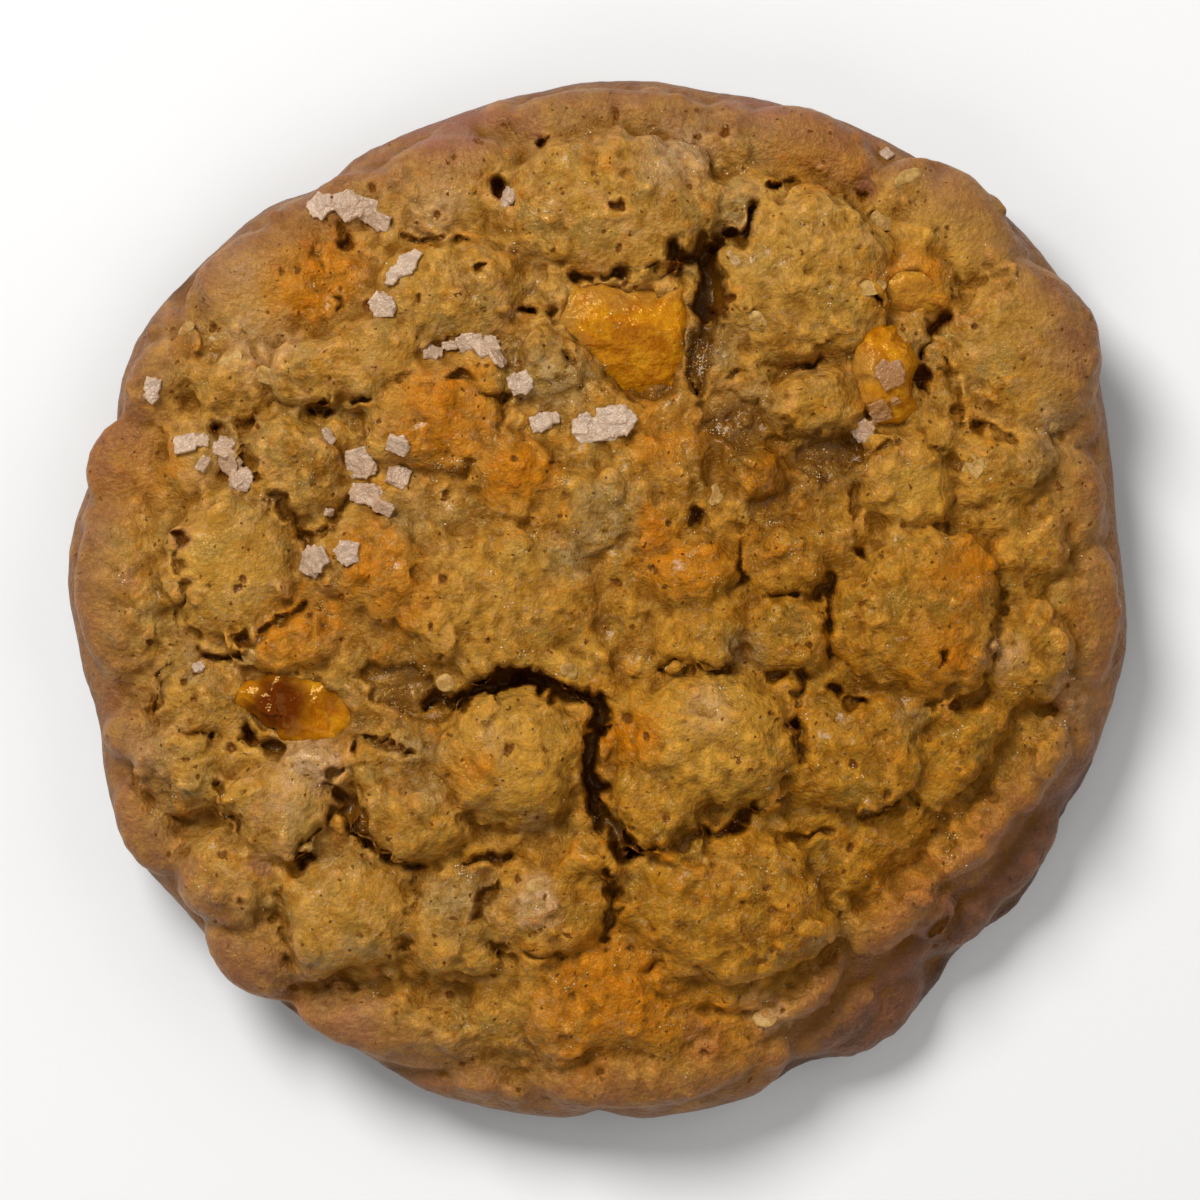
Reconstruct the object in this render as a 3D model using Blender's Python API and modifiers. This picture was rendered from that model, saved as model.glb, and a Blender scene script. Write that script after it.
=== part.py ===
"""Oatmeal butterscotch cookie: a thick craggy disc of dough with butterscotch chips and flakes of salt.

Run it in Blender 4.5. The tables are in millimetres, with the origin on the underside's centre, +Z up
and +Y away from the viewer, and MM turns them into metres.
"""

import math
import random

import bmesh
import bpy
import numpy as np
from mathutils import Matrix, Vector
from mathutils.bvhtree import BVHTree

MM = 0.001

# Driving dimensions of the dough
COOKIE_RADIUS = 41.75
FOOT_WIDEST = 2.6
FOOT_RISE = 4.2
FOOT_DROP = 5.0
CROWN_WIDEST = 5.5
CROWN_RISE = 3.5
CROWN_DROP = 5.0
CROWN_DOME = 5.0
CROWN_SETBACK = 0.5
EDGE_SHARPNESS = 9.0
EDGE_ROUNDNESS = 2.2

# How deep below the dome's skin a lump has its middle, and how flat the small lumps are
LUMP_SUNK = 0.9
CRAG_FLATNESS = 0.7

# The small lumps all over the crown: how many, how far in from the edge, sizes and how far they stand out
CRAG_COUNT = 190
CRAG_MARGIN = 3.0
CRAG_SIZES = (1.5, 2.9)
CRAG_PROUD = (0.1, 0.55)

# The lumps round the side: height and how many in each ring, sizes, and how far they pass the edge's line
SIDE_RINGS = [(3.0, 30), (6.8, 34)]
SIDE_SIZES = (2.6, 4.4)
SIDE_PROUD = 0.25
LEDGE_LUMP_HEIGHT = 2.4

# The rough skin
SKIN_GRAIN = 3.6
SKIN_ROUGHNESS = 1.1

# How far a gap or a pit is eased out past its own width
GAP_EASE = 1.6
PIT_EASE = 1.5

# Chips, salt and oats
CHIP_GAP = 0.3
CHIP_TAPER = 0.10
SALT_THICKNESS = 0.7
OAT_THICKNESS = 1.0
FLAKE_CORNERS = 8
FLAKE_JAGS = (0.82, 1.12)
FLAKE_TAPER = 0.9

# Fineness of the mesh, and the seed of every random draw
VOXEL = 0.62
DOUGH_TRIANGLES = 8600
SEED = 11

# Where the edge stands out from the plain circle or draws in: angle in degrees, half width, push
EDGE_LOBES = [
    (38, 34, 3.3),
    (65, 15, 0.8),
    (112, 30, -1.3),
    (124, 6, -1.0),
    (150, 12, 0.8),
    (160, 4, -0.6),
    (176, 14, 1.0),
    (193, 5, -0.5),
    (206, 12, 0.8),
    (232, 24, -0.5),
    (243, 8, -0.4),
    (270, 4, -0.8),
    (293, 7, -1.0),
    (316, 9, -1.5),
    (334, 8, -0.8),
    (356, 12, 0.6),
]
# Where the crown draws back and leaves the foot bare, at the lower right
CROWN_RECESS = [
    (322, 24, -3.4),
    (303, 15, -4.2),
]
# Where the foot lies lower, under that bare ledge
FOOT_LEDGE = [(315, 42, -2.6)]

# Lumps of dough: x, y, half length, half width, turn in degrees, height above the dome
LUMPS = [
    # Far side
    (1.0, 31.0, 9.3, 6.3, 0, 2.9),
    (2.0, 37.6, 9.5, 3.2, -4, 1.0),
    (17.0, 35.8, 5.8, 3.2, -25, 1.5),
    (16.0, 25.3, 7.2, 7.2, 0, 2.8),
    (12.0, 31.5, 3.0, 2.4, 30, 1.8),
    (-12.0, 32.5, 6.5, 4.6, 15, 1.4),
    (-12.0, 24.0, 6.5, 4.5, 5, 2.0),
    (-27.2, 23.8, 7.0, 5.2, 40, 1.6),
    (-20.0, 31.0, 4.5, 3.0, 30, 1.2),
    (27.2, 29.6, 7.0, 4.8, -40, 1.7),
    (25.0, 26.0, 3.6, 3.0, 0, 1.7),
    # Right side
    (33.5, 20.0, 7.4, 6.4, -60, 2.1),
    (17.0, 15.3, 4.2, 3.0, 0, 2.0),
    (24.3, 9.6, 4.6, 4.4, 0, 2.0),
    (31.5, 11.0, 5.0, 3.4, 20, 1.5),
    (25.0, -1.5, 6.8, 6.8, 0, 3.2),
    (36.8, 8.0, 3.6, 4.8, 0, 0.9),
    (34.0, 3.6, 3.6, 3.0, 0, 1.3),
    (38.8, -1.0, 2.8, 6.0, 0, 0.8),
    (33.4, -4.6, 4.2, 4.4, 0, 1.6),
    (20.0, -12.0, 6.6, 4.6, 10, 2.0),
    (27.5, -12.5, 5.0, 3.6, 40, 1.5),
    (34.0, -12.5, 4.4, 3.0, 52, 1.2),
    (29.0, -18.8, 5.0, 2.6, 45, 1.3),
    (23.0, -24.6, 5.0, 2.8, 40, 1.2),
    # Middle
    (-8.0, 0.0, 8.5, 6.4, 0, 1.7),
    (7.2, 2.0, 4.0, 2.9, 0, 1.9),
    (15.0, 3.2, 3.2, 2.8, 0, 1.8),
    (15.2, -2.4, 3.4, 3.2, 0, 1.7),
    (8.0, -2.6, 4.0, 2.6, 0, 1.7),
    (12.4, 9.9, 3.2, 2.3, -20, 1.6),
    (4.6, 9.0, 3.8, 4.4, 0, 1.0),
    (-4.0, 18.4, 3.4, 2.8, 0, 1.2),
    (-1.5, 7.0, 5.0, 3.6, 0, 1.0),
    (-7.0, -12.6, 6.2, 5.6, 0, 3.2),
    (-14.6, -17.2, 4.8, 3.4, -18, 2.4),
    (8.4, -11.0, 7.2, 5.8, -8, 3.3),
    (4.6, -16.2, 4.0, 3.6, 0, 2.8),
    (-16.4, -12.6, 3.8, 3.0, 20, 1.5),
    (-1.4, -6.0, 4.0, 1.8, -12, 1.2),
    # Left side
    (-19.4, 18.9, 6.6, 3.3, 16, 3.2),
    (-12.6, 14.4, 6.0, 3.8, -8, 2.4),
    (-6.6, 10.2, 4.0, 2.9, -30, 1.9),
    (-29.0, 18.3, 4.4, 2.6, 0, 1.4),
    (-24.4, 10.6, 4.4, 4.6, 0, 2.1),
    (-29.0, 2.8, 5.6, 6.4, 15, 2.4),
    (-17.6, 2.4, 3.6, 4.8, 38, 2.0),
    (-37.6, 1.0, 4.4, 7.4, 0, 1.3),
    (-34.2, 17.2, 4.4, 3.4, 48, 1.2),
    (-37.2, 10.4, 4.4, 4.6, 0, 1.3),
    (-31.6, 11.2, 2.8, 3.0, 0, 1.3),
    (-24.6, -3.2, 4.8, 2.4, 0, 1.9),
    (-31.4, -7.6, 4.2, 2.8, 0, 1.4),
    (-22.0, -13.0, 3.0, 1.8, -10, 1.9),
    # Near side
    (-25.6, -16.4, 4.8, 4.0, -15, 2.7),
    (-32.6, -13.4, 4.2, 3.8, 0, 2.0),
    (-35.8, -18.0, 2.7, 4.4, 25, 1.1),
    (-36.8, -10.6, 3.0, 2.3, 0, 1.3),
    (-28.6, -21.8, 5.2, 4.0, 20, 2.0),
    (-20.2, -24.8, 5.6, 5.0, 0, 2.6),
    (-26.8, -28.0, 5.2, 3.6, -35, 1.5),
    (-12.0, -25.4, 3.8, 4.4, 0, 1.8),
    (-4.2, -24.4, 5.0, 4.6, 0, 2.0),
    (-0.6, -20.4, 3.2, 2.6, 0, 1.8),
    (9.6, -24.4, 8.6, 6.2, -8, 2.2),
    (10.4, -30.2, 5.0, 2.6, 0, 1.3),
    (-15.6, -34.0, 9.0, 3.0, -12, 1.1),
    (-0.8, -31.6, 6.4, 4.4, 0, 1.5),
    (3.0, -37.4, 8.6, 3.2, 4, 0.9),
    (15.4, -30.6, 4.6, 2.8, 35, 1.2),
]

# Lumps of the bare ledge at the lower right: x, y, height of the middle, half length, half width, turn
LEDGE_LUMPS = [
    (35.2, -13.2, 3.8, 4.2, 2.6, -62),
    (32.0, -19.4, 3.9, 4.4, 2.8, -52),
    (28.4, -23.6, 3.7, 4.0, 2.8, -44),
    (19.8, -31.2, 4.6, 4.4, 2.6, 32),
    (21.2, -29.2, 2.4, 5.6, 5.4, 0),
    (24.6, -26.8, 3.2, 3.8, 3.2, 0),
]

# Gaps between lumps: depth, half width, points of the line
GAPS = [
    (3.2, 1.5, [(8.4, 27.2), (8.0, 23.0), (7.8, 17.0)]),
    (1.6, 3.2, [(9.5, 15.0), (17.5, 11.0)]),
    (1.5, 1.6, [(17.0, 11.5), (20.0, 12.5)]),
    (2.2, 1.2, [(12.0, 7.5), (13.0, 4.5)]),
    (3.0, 1.1, [(-5.0, 26.2), (0.0, 25.1), (5.0, 27.4), (9.5, 28.1)]),
    (3.0, 1.1, [(9.5, 28.1), (11.5, 29.6), (12.4, 31.4), (14.0, 32.9)]),
    (2.0, 0.9, [(14.0, 32.9), (16.5, 33.4), (20.5, 32.2)]),
    (3.0, 1.4, [(-22.8, 15.4), (-18.5, 15.8), (-14.6, 18.3)]),
    (2.2, 3.0, [(-17.5, -6.5), (-13.5, -8.2)]),
    (3.4, 1.4, [(-13.5, -8.2), (-11.0, -7.8), (-6.7, -5.6), (-3.0, -7.2), (-0.2, -8.2)]),
    (3.6, 1.4, [(-0.2, -8.2), (-0.6, -12.0), (-0.4, -16.0), (2.2, -20.0)]),
    (2.4, 1.0, [(16.0, -6.0), (18.4, -7.0), (22.6, -9.0)]),
    (1.8, 0.9, [(18.2, 1.6), (18.4, -4.2)]),
    (2.0, 0.9, [(-18.6, -19.6), (-13.6, -21.6), (-7.4, -20.2)]),
    (1.8, 0.8, [(-8.4, -22.4), (-10.6, -27.6)]),
    (1.5, 1.2, [(-24.4, -31.6), (-18.0, -30.6), (-11.0, -31.2)]),
    (1.2, 0.9, [(-16.0, -37.0), (-6.4, -37.2)]),
    (1.8, 0.9, [(-35.6, -14.6), (-33.4, -17.2), (-29.8, -17.6)]),
    (1.8, 0.9, [(-27.4, 9.0), (-22.6, 5.0)]),
    (1.6, 0.9, [(-20.2, -15.6), (-18.6, -19.6)]),
]

# Open pits: x, y, radius, depth
PITS = [
    (-7.6, 32.6, 1.3, 2.4),
    (1.4, 31.4, 1.1, 2.0),
    (-5.4, 22.8, 1.0, 2.2),
    (-33.4, 5.4, 1.0, 1.6),
    (-30.4, 13.0, 1.2, 1.8),
    (-28.4, -3.0, 1.1, 2.0),
    (-31.0, -4.6, 1.1, 1.8),
    (-28.0, -10.8, 1.2, 2.2),
    (-19.2, -11.8, 1.1, 2.2),
    (-23.6, -20.6, 1.1, 2.2),
    (18.6, -7.0, 1.1, 1.6),
    (15.6, -9.8, 1.1, 1.8),
    (10.8, -17.8, 1.3, 2.2),
    (26.8, 22.0, 1.1, 2.0),
    (25.8, 17.4, 1.1, 2.0),
    (30.4, 13.4, 1.0, 1.4),
    (7.6, 6.5, 1.0, 1.6),
]

# Butterscotch chips that lie open: name, centre, size, turn, squareness
CHIPS = [
    ("chip_centre", (1.7, 20.2, 9.9), (10.8, 9.8, 7.6), -6, 3.4),
    ("chip_right", (22.5, 17.9, 11.0), (5.2, 8.0, 6.4), 4, 2.5),
    ("chip_melted", (-23.6, -8.6, 10.5), (9.4, 5.2, 5.4), -8, 2.4),
    ("chip_upper_right", (24.3, 25.0, 10.6), (6.2, 4.6, 5.6), 12, 2.5),
]

# Flakes of salt on the dough: x, y, length, width, turn
SALT_ON_DOUGH = [
    (0.3, 13.8, 5.6, 3.2, 12),
    (-22.1, 31.4, 2.4, 2.2, 0),
    (-19.8, 31.8, 3.4, 2.0, 60),
    (-17.6, 30.6, 2.8, 2.0, -20),
    (-15.6, 26.4, 4.0, 1.8, 48),
    (-17.0, 23.4, 2.9, 2.1, 0),
    (-12.6, 19.8, 3.0, 1.6, 28),
    (-9.2, 20.2, 3.6, 1.8, -18),
    (-6.4, 17.3, 1.8, 1.7, 10),
    (-4.9, 14.0, 2.0, 1.6, 30),
    (-35.5, 16.9, 2.4, 1.2, 80),
    (-32.4, 12.5, 2.6, 1.5, -10),
    (-29.9, 11.8, 3.0, 1.8, -50),
    (-28.4, 9.8, 2.8, 1.5, -40),
    (-19.2, 10.6, 2.9, 2.5, 70),
    (-15.8, 12.0, 2.2, 1.6, 20),
    (-18.2, 8.0, 2.8, 1.6, 30),
    (-22.2, 3.0, 3.6, 2.4, 20),
    (-19.8, 3.7, 2.2, 1.6, 30),
    (20.2, 12.6, 2.4, 1.5, 40),
    (-31.8, -5.4, 1.8, 1.3, 70),
]
SALT_ON_CHIP = [
    (22.8, 18.6, 2.6, 2.2, 10),
    (22.3, 16.2, 1.8, 1.3, 75),
]
# Whole oats that lie on the dough, in the same order of values
OATS_ON_DOUGH = [
    (-29.6, 19.2, 3.4, 2.6, -30),
    (-26.6, 17.6, 3.6, 2.4, 15),
    (29.8, 9.9, 3.0, 2.4, 70),
    (21.8, 29.8, 4.2, 2.6, 15),
    (-27.2, -21.2, 3.2, 2.2, 5),
    (14.0, 27.2, 3.4, 2.4, -30),
]

# Colours as linear values, from the look of the real thing
DOUGH_COLOUR = (0.36, 0.165, 0.038, 1.0)
CHIP_COLOUR = (0.42, 0.135, 0.008, 1.0)


def clear_scene():
    for obj in list(bpy.data.objects):
        bpy.data.objects.remove(obj, do_unlink=True)


def new_collection(name):
    collection = bpy.data.collections.new(name)
    bpy.context.scene.collection.children.link(collection)
    return collection


def new_material(name, colour, roughness, coat):
    material = bpy.data.materials.new(name)
    material.use_nodes = True
    shader = material.node_tree.nodes["Principled BSDF"]
    shader.inputs["Base Color"].default_value = colour
    shader.inputs["Roughness"].default_value = roughness
    shader.inputs["Metallic"].default_value = 0.0
    shader.inputs["Coat Weight"].default_value = coat
    return material


def lobe_sum(angle, lobes):
    """How far the rounded lobes push the edge at an angle in degrees."""
    total = 0.0
    for centre, half_width, push in lobes:
        away = abs((angle - centre + 180) % 360 - 180)
        if away < half_width:
            total += push * math.cos(math.pi / 2 * away / half_width) ** 2
    return total


def foot_radius(angle):
    return COOKIE_RADIUS + lobe_sum(angle, EDGE_LOBES)


def crown_radius(angle):
    return foot_radius(angle) - CROWN_SETBACK + lobe_sum(angle, CROWN_RECESS)


def foot_rise(angle):
    return FOOT_RISE + lobe_sum(angle, FOOT_LEDGE)


def crown_rise(_angle):
    return CROWN_RISE


def edge_profile(share):
    """Height share of a rounded edge, from 1 in the middle to 0 at the rim."""
    return (1 - min(share, 1.0) ** EDGE_SHARPNESS) ** (1 / EDGE_ROUNDNESS)


def dome_height(x, y):
    """Height of the crown without its lumps."""
    angle = math.degrees(math.atan2(y, x)) % 360
    share = math.hypot(x, y) / crown_radius(angle)
    if share >= 1:
        return CROWN_WIDEST
    return CROWN_WIDEST + CROWN_RISE * edge_profile(share) + CROWN_DOME * (1 - share * share)


def add_disc(bm, radius, widest, rise, drop, dome):
    """A thick disc with a rounded edge, shaped from a sphere."""
    made = bmesh.ops.create_uvsphere(bm, u_segments=96, v_segments=44, radius=1.0)
    for vert in made["verts"]:
        flat = math.hypot(vert.co.x, vert.co.y)
        share = math.sqrt(min(flat, 1.0))
        angle = math.degrees(math.atan2(vert.co.y, vert.co.x)) % 360
        reach = share * radius(angle)
        if vert.co.z >= 0:
            height = widest + rise(angle) * edge_profile(share) + dome * (1 - share * share)
        else:
            height = widest - drop * edge_profile(share)
        way = Vector((vert.co.x, vert.co.y, 0))
        if flat > 1e-6:
            way.normalize()
        vert.co = Vector((way.x * reach, way.y * reach, height)) * MM


def add_lump(bm, centre, radii, turn, subdivisions):
    place = (
        Matrix.Translation(Vector(centre) * MM)
        @ Matrix.Rotation(math.radians(turn), 4, "Z")
        @ Matrix.Diagonal((radii[0] * MM, radii[1] * MM, radii[2] * MM, 1.0))
    )
    bmesh.ops.create_icosphere(bm, subdivisions=subdivisions, radius=1.0, matrix=place)


def lump_solid(lump):
    """Centre, radii and turn of a named lump, whose middle sits just under the dome."""
    x, y, length, width, turn, height = lump
    centre = (x, y, dome_height(x, y) - LUMP_SUNK)
    return centre, (length, width, height + LUMP_SUNK), turn


def top_height(x, y):
    """Height of the dome and its named lumps together."""
    highest = dome_height(x, y)
    for lump in LUMPS:
        centre, radii, turn = lump_solid(lump)
        cos_turn = math.cos(math.radians(turn))
        sin_turn = math.sin(math.radians(turn))
        along = (x - centre[0]) * cos_turn + (y - centre[1]) * sin_turn
        across = (y - centre[1]) * cos_turn - (x - centre[0]) * sin_turn
        inside = 1 - (along / radii[0]) ** 2 - (across / radii[1]) ** 2
        if inside > 0:
            highest = max(highest, centre[2] + radii[2] * math.sqrt(inside))
    return highest


def add_small_crags(bm):
    """Small seeded lumps all over the crown, such as oats and clots of dough make."""
    draw = random.Random(SEED)
    golden = math.pi * (3 - math.sqrt(5))
    for i in range(CRAG_COUNT):
        reach = (COOKIE_RADIUS - CRAG_MARGIN) * math.sqrt((i + 0.5) / CRAG_COUNT)
        angle = i * golden + draw.uniform(-0.12, 0.12)
        x = reach * math.cos(angle)
        y = reach * math.sin(angle)
        size = draw.uniform(*CRAG_SIZES)
        thickness = CRAG_FLATNESS * size
        centre = (x, y, top_height(x, y) + draw.uniform(*CRAG_PROUD) - thickness)
        width = size * draw.uniform(0.7, 1.0)
        add_lump(bm, centre, (size, width, thickness), draw.uniform(0, 180), 2)


def add_side_lumps(bm):
    """Lumps round the side, set back so that they just reach the edge's own line."""
    draw = random.Random(SEED + 1)
    for level, count in SIDE_RINGS:
        for i in range(count):
            angle = 360 * (i + draw.uniform(-0.25, 0.25)) / count
            radius = foot_radius if level < CROWN_WIDEST else crown_radius
            size = draw.uniform(*SIDE_SIZES)
            reach = radius(angle) - size + SIDE_PROUD
            centre = (
                reach * math.cos(math.radians(angle)),
                reach * math.sin(math.radians(angle)),
                level + draw.uniform(-0.8, 0.8),
            )
            add_lump(bm, centre, (size, size * 0.9, size * draw.uniform(0.55, 0.8)), angle, 2)


def apply_modifiers(obj):
    """Gives the object the mesh that its modifiers make, and removes them."""
    graph = bpy.context.evaluated_depsgraph_get()
    made = bpy.data.meshes.new_from_object(obj.evaluated_get(graph), depsgraph=graph)
    old = obj.data
    obj.modifiers.clear()
    obj.data = made
    bpy.data.meshes.remove(old)


def line_distance(points, line):
    """Distance in plan from each point to a line of straight runs."""
    nearest = np.full(len(points), np.inf)
    for start, end in zip(line[:-1], line[1:]):
        start = np.array(start)
        run = np.array(end) - start
        share = np.clip((points - start) @ run / (run @ run), 0, 1)
        away = np.linalg.norm(points - start - share[:, None] * run, axis=1)
        nearest = np.minimum(nearest, away)
    return nearest


def carve(mesh):
    """Presses the gaps and pits into the crown's upward faces."""
    count = len(mesh.vertices)
    places = np.empty(count * 3)
    normals = np.empty(count * 3)
    mesh.vertices.foreach_get("co", places)
    mesh.vertices.foreach_get("normal", normals)
    places = places.reshape(-1, 3)
    upward = np.clip(normals.reshape(-1, 3)[:, 2] * 2, 0, 1) * (places[:, 2] > CROWN_WIDEST * MM)
    plan = places[:, :2] / MM
    sink = np.zeros(count)
    for depth, half_width, line in GAPS:
        near = np.clip(1 - line_distance(plan, line) / (GAP_EASE * half_width), 0, 1)
        sink = np.maximum(sink, depth * near * near * (3 - 2 * near))
    for x, y, radius, depth in PITS:
        away = np.hypot(plan[:, 0] - x, plan[:, 1] - y)
        near = np.clip(1 - away / (PIT_EASE * radius), 0, 1)
        sink = np.maximum(sink, depth * near * near * (3 - 2 * near))
    places[:, 2] -= sink * upward * MM
    mesh.vertices.foreach_set("co", places.ravel())
    mesh.update()


def cut_flat(mesh):
    """Cuts the underside flat at height zero and closes it."""
    bm = bmesh.new()
    bm.from_mesh(mesh)
    everything = bm.verts[:] + bm.edges[:] + bm.faces[:]
    cut = bmesh.ops.bisect_plane(
        bm, geom=everything, dist=1e-7, plane_co=(0, 0, 0), plane_no=(0, 0, -1), clear_outer=True
    )
    rim = [item for item in cut["geom_cut"] if isinstance(item, bmesh.types.BMEdge)]
    bmesh.ops.holes_fill(bm, edges=rim, sides=0)
    bmesh.ops.triangulate(bm, faces=bm.faces[:])
    bmesh.ops.recalc_face_normals(bm, faces=bm.faces[:])
    bm.to_mesh(mesh)
    bm.free()


def dough_body(collection, material):
    """The cookie's one-piece dough: foot, crown, lumps, gaps and pits."""
    bm = bmesh.new()
    add_disc(bm, foot_radius, FOOT_WIDEST, foot_rise, FOOT_DROP, 0.0)
    add_disc(bm, crown_radius, CROWN_WIDEST, crown_rise, CROWN_DROP, CROWN_DOME)
    for lump in LUMPS:
        centre, radii, turn = lump_solid(lump)
        add_lump(bm, centre, radii, turn, 3)
    for x, y, middle, length, width, turn in LEDGE_LUMPS:
        add_lump(bm, (x, y, middle), (length, width, LEDGE_LUMP_HEIGHT), turn, 3)
    add_small_crags(bm)
    add_side_lumps(bm)
    mesh = bpy.data.meshes.new("cookie_dough")
    bm.to_mesh(mesh)
    bm.free()
    dough = bpy.data.objects.new("cookie_dough", mesh)
    collection.objects.link(dough)

    merge = dough.modifiers.new("one_skin", "REMESH")
    merge.mode = "VOXEL"
    merge.voxel_size = VOXEL * MM
    soften = dough.modifiers.new("soften", "SMOOTH")
    soften.factor = 0.4
    soften.iterations = 1
    texture = bpy.data.textures.new("crags", "CLOUDS")
    texture.noise_scale = SKIN_GRAIN * MM
    texture.noise_depth = 2
    crags = dough.modifiers.new("crags", "DISPLACE")
    crags.texture = texture
    crags.texture_coords = "LOCAL"
    crags.mid_level = 0.5
    crags.strength = SKIN_ROUGHNESS * MM
    apply_modifiers(dough)
    carve(dough.data)

    dough.data.calc_loop_triangles()
    thin = dough.modifiers.new("thin", "DECIMATE")
    thin.ratio = DOUGH_TRIANGLES / len(dough.data.loop_triangles)
    apply_modifiers(dough)
    cut_flat(dough.data)
    dough.data.materials.clear()
    dough.data.materials.append(material)
    return dough


def add_chip(name, collection, material, centre, size, turn, squareness, grow):
    """A rounded block of butterscotch, grown all round where it serves as a cutter."""
    bm = bmesh.new()
    bmesh.ops.create_cube(bm, size=2.0)
    bmesh.ops.subdivide_edges(bm, edges=bm.edges[:], cuts=5, use_grid_fill=True)
    half = [extent / 2 + grow for extent in size]
    for vert in bm.verts:
        reach = sum(abs(part) ** squareness for part in vert.co) ** (1 / squareness)
        way = vert.co / reach
        taper = 1.0 - CHIP_TAPER * max(way.z, 0.0)
        vert.co = Vector((way.x * half[0] * taper, way.y * half[1] * taper, way.z * half[2])) * MM
    place = Matrix.Translation(Vector(centre) * MM) @ Matrix.Rotation(math.radians(turn), 4, "Z")
    bmesh.ops.transform(bm, matrix=place, verts=bm.verts[:])
    bmesh.ops.triangulate(bm, faces=bm.faces[:])
    mesh = bpy.data.meshes.new(name)
    bm.to_mesh(mesh)
    bm.free()
    mesh.shade_smooth()
    chip = bpy.data.objects.new(name, mesh)
    chip.data.materials.append(material)
    collection.objects.link(chip)
    return chip


def cut_pockets(dough, cutters):
    """Cuts each chip's pocket, a gap wider than the chip, out of the dough."""
    for cutter in cutters:
        pocket = dough.modifiers.new("pocket_" + cutter.name, "BOOLEAN")
        pocket.operation = "DIFFERENCE"
        pocket.solver = "EXACT"
        pocket.object = cutter
        apply_modifiers(dough)


def keep_largest(mesh):
    """Drops the loose scraps of dough that a pocket leaves behind."""
    bm = bmesh.new()
    bm.from_mesh(mesh)
    bm.verts.ensure_lookup_table()
    unseen = set(bm.verts)
    islands = []
    while unseen:
        front = [unseen.pop()]
        island = set(front)
        while front:
            vert = front.pop()
            for edge in vert.link_edges:
                other = edge.other_vert(vert)
                if other in unseen:
                    unseen.discard(other)
                    island.add(other)
                    front.append(other)
        islands.append(island)
    islands.sort(key=len)
    for island in islands[:-1]:
        bmesh.ops.delete(bm, geom=list(island), context="VERTS")
    bm.to_mesh(mesh)
    bm.free()


def add_flake(collection, name, host, flake, thickness, draw):
    """A thin jagged plate that lies on the host's surface."""
    x, y, length, width, turn = flake
    graph = bpy.context.evaluated_depsgraph_get()
    tree = BVHTree.FromObject(host, graph)
    place, normal, _face, _away = tree.ray_cast(Vector((x, y, 40)) * MM, Vector((0, 0, -1)))
    lean = (normal + 2 * Vector((0, 0, 1))).normalized()
    bm = bmesh.new()
    bmesh.ops.create_cone(
        bm, cap_ends=True, segments=FLAKE_CORNERS, radius1=1.0, radius2=FLAKE_TAPER, depth=thickness * MM
    )
    jags = [draw.uniform(*FLAKE_JAGS) for _ in range(FLAKE_CORNERS)]
    for vert in bm.verts:
        turns = math.atan2(vert.co.y, vert.co.x) / (2 * math.pi)
        corner = round(turns * FLAKE_CORNERS) % FLAKE_CORNERS
        vert.co.x *= jags[corner] * length / 2 * MM
        vert.co.y *= jags[corner] * width / 2 * MM
    turned = Vector((0, 0, 1)).rotation_difference(lean).to_matrix().to_4x4()
    matrix = Matrix.Translation(place) @ turned @ Matrix.Rotation(math.radians(turn), 4, "Z")
    bmesh.ops.transform(bm, matrix=matrix, verts=bm.verts[:])
    bmesh.ops.triangulate(bm, faces=bm.faces[:])
    mesh = bpy.data.meshes.new(name)
    bm.to_mesh(mesh)
    bm.free()
    collection.objects.link(bpy.data.objects.new(name, mesh))


def fuse_flakes(host, kinds, draw):
    """Joins the flakes of salt and oat to what they lie on with one union."""
    group = new_collection("flakes_on_" + host.name)
    for kind, flakes, thickness in kinds:
        for number, flake in enumerate(flakes):
            add_flake(group, f"{kind}_{number}", host, flake, thickness, draw)
    join = host.modifiers.new("flakes", "BOOLEAN")
    join.operation = "UNION"
    join.operand_type = "COLLECTION"
    join.collection = group
    join.solver = "EXACT"
    apply_modifiers(host)
    for obj in list(group.objects):
        bpy.data.objects.remove(obj, do_unlink=True)
    bpy.data.collections.remove(group)


def main():
    clear_scene()
    parts = new_collection("oatmeal_butterscotch_cookie")
    cutters = new_collection("cutters")
    dough_material = new_material("dough", DOUGH_COLOUR, 0.6, 0.0)
    chip_material = new_material("butterscotch", CHIP_COLOUR, 0.25, 0.4)

    dough = dough_body(parts, dough_material)
    chips = {}
    pockets = []
    for name, centre, size, turn, squareness in CHIPS:
        chips[name] = add_chip(name, parts, chip_material, centre, size, turn, squareness, 0.0)
        pocket = add_chip(name + "_pocket", cutters, chip_material, centre, size, turn, squareness, CHIP_GAP)
        pocket.hide_render = True
        pocket.display_type = "WIRE"
        pockets.append(pocket)
    cut_pockets(dough, pockets)
    keep_largest(dough.data)

    draw = random.Random(SEED + 2)
    on_dough = [("salt", SALT_ON_DOUGH, SALT_THICKNESS), ("oat", OATS_ON_DOUGH, OAT_THICKNESS)]
    fuse_flakes(dough, on_dough, draw)
    fuse_flakes(chips["chip_right"], [("salt", SALT_ON_CHIP, SALT_THICKNESS)], draw)
    dough.data.shade_smooth()
    dough.data.set_sharp_from_angle(angle=math.radians(50))


main()
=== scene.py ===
# %% [markdown]
# # An oatmeal butterscotch cookie
#
# The object is one thick drop cookie, seen from straight above. It is a disc of baked oat dough about
# 85 mm across, heaped with lumps that never quite closed up while it baked, with chips of butterscotch
# in its hollows and flakes of sea salt on top. This lesson dresses the plain solids of the part, node by
# node, with the real thing's surface.

# %% Load the frame
import math
import random

import bpy
import numpy as np
from mathutils import Matrix, Vector, noise
from mathutils.bvhtree import BVHTree


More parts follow.
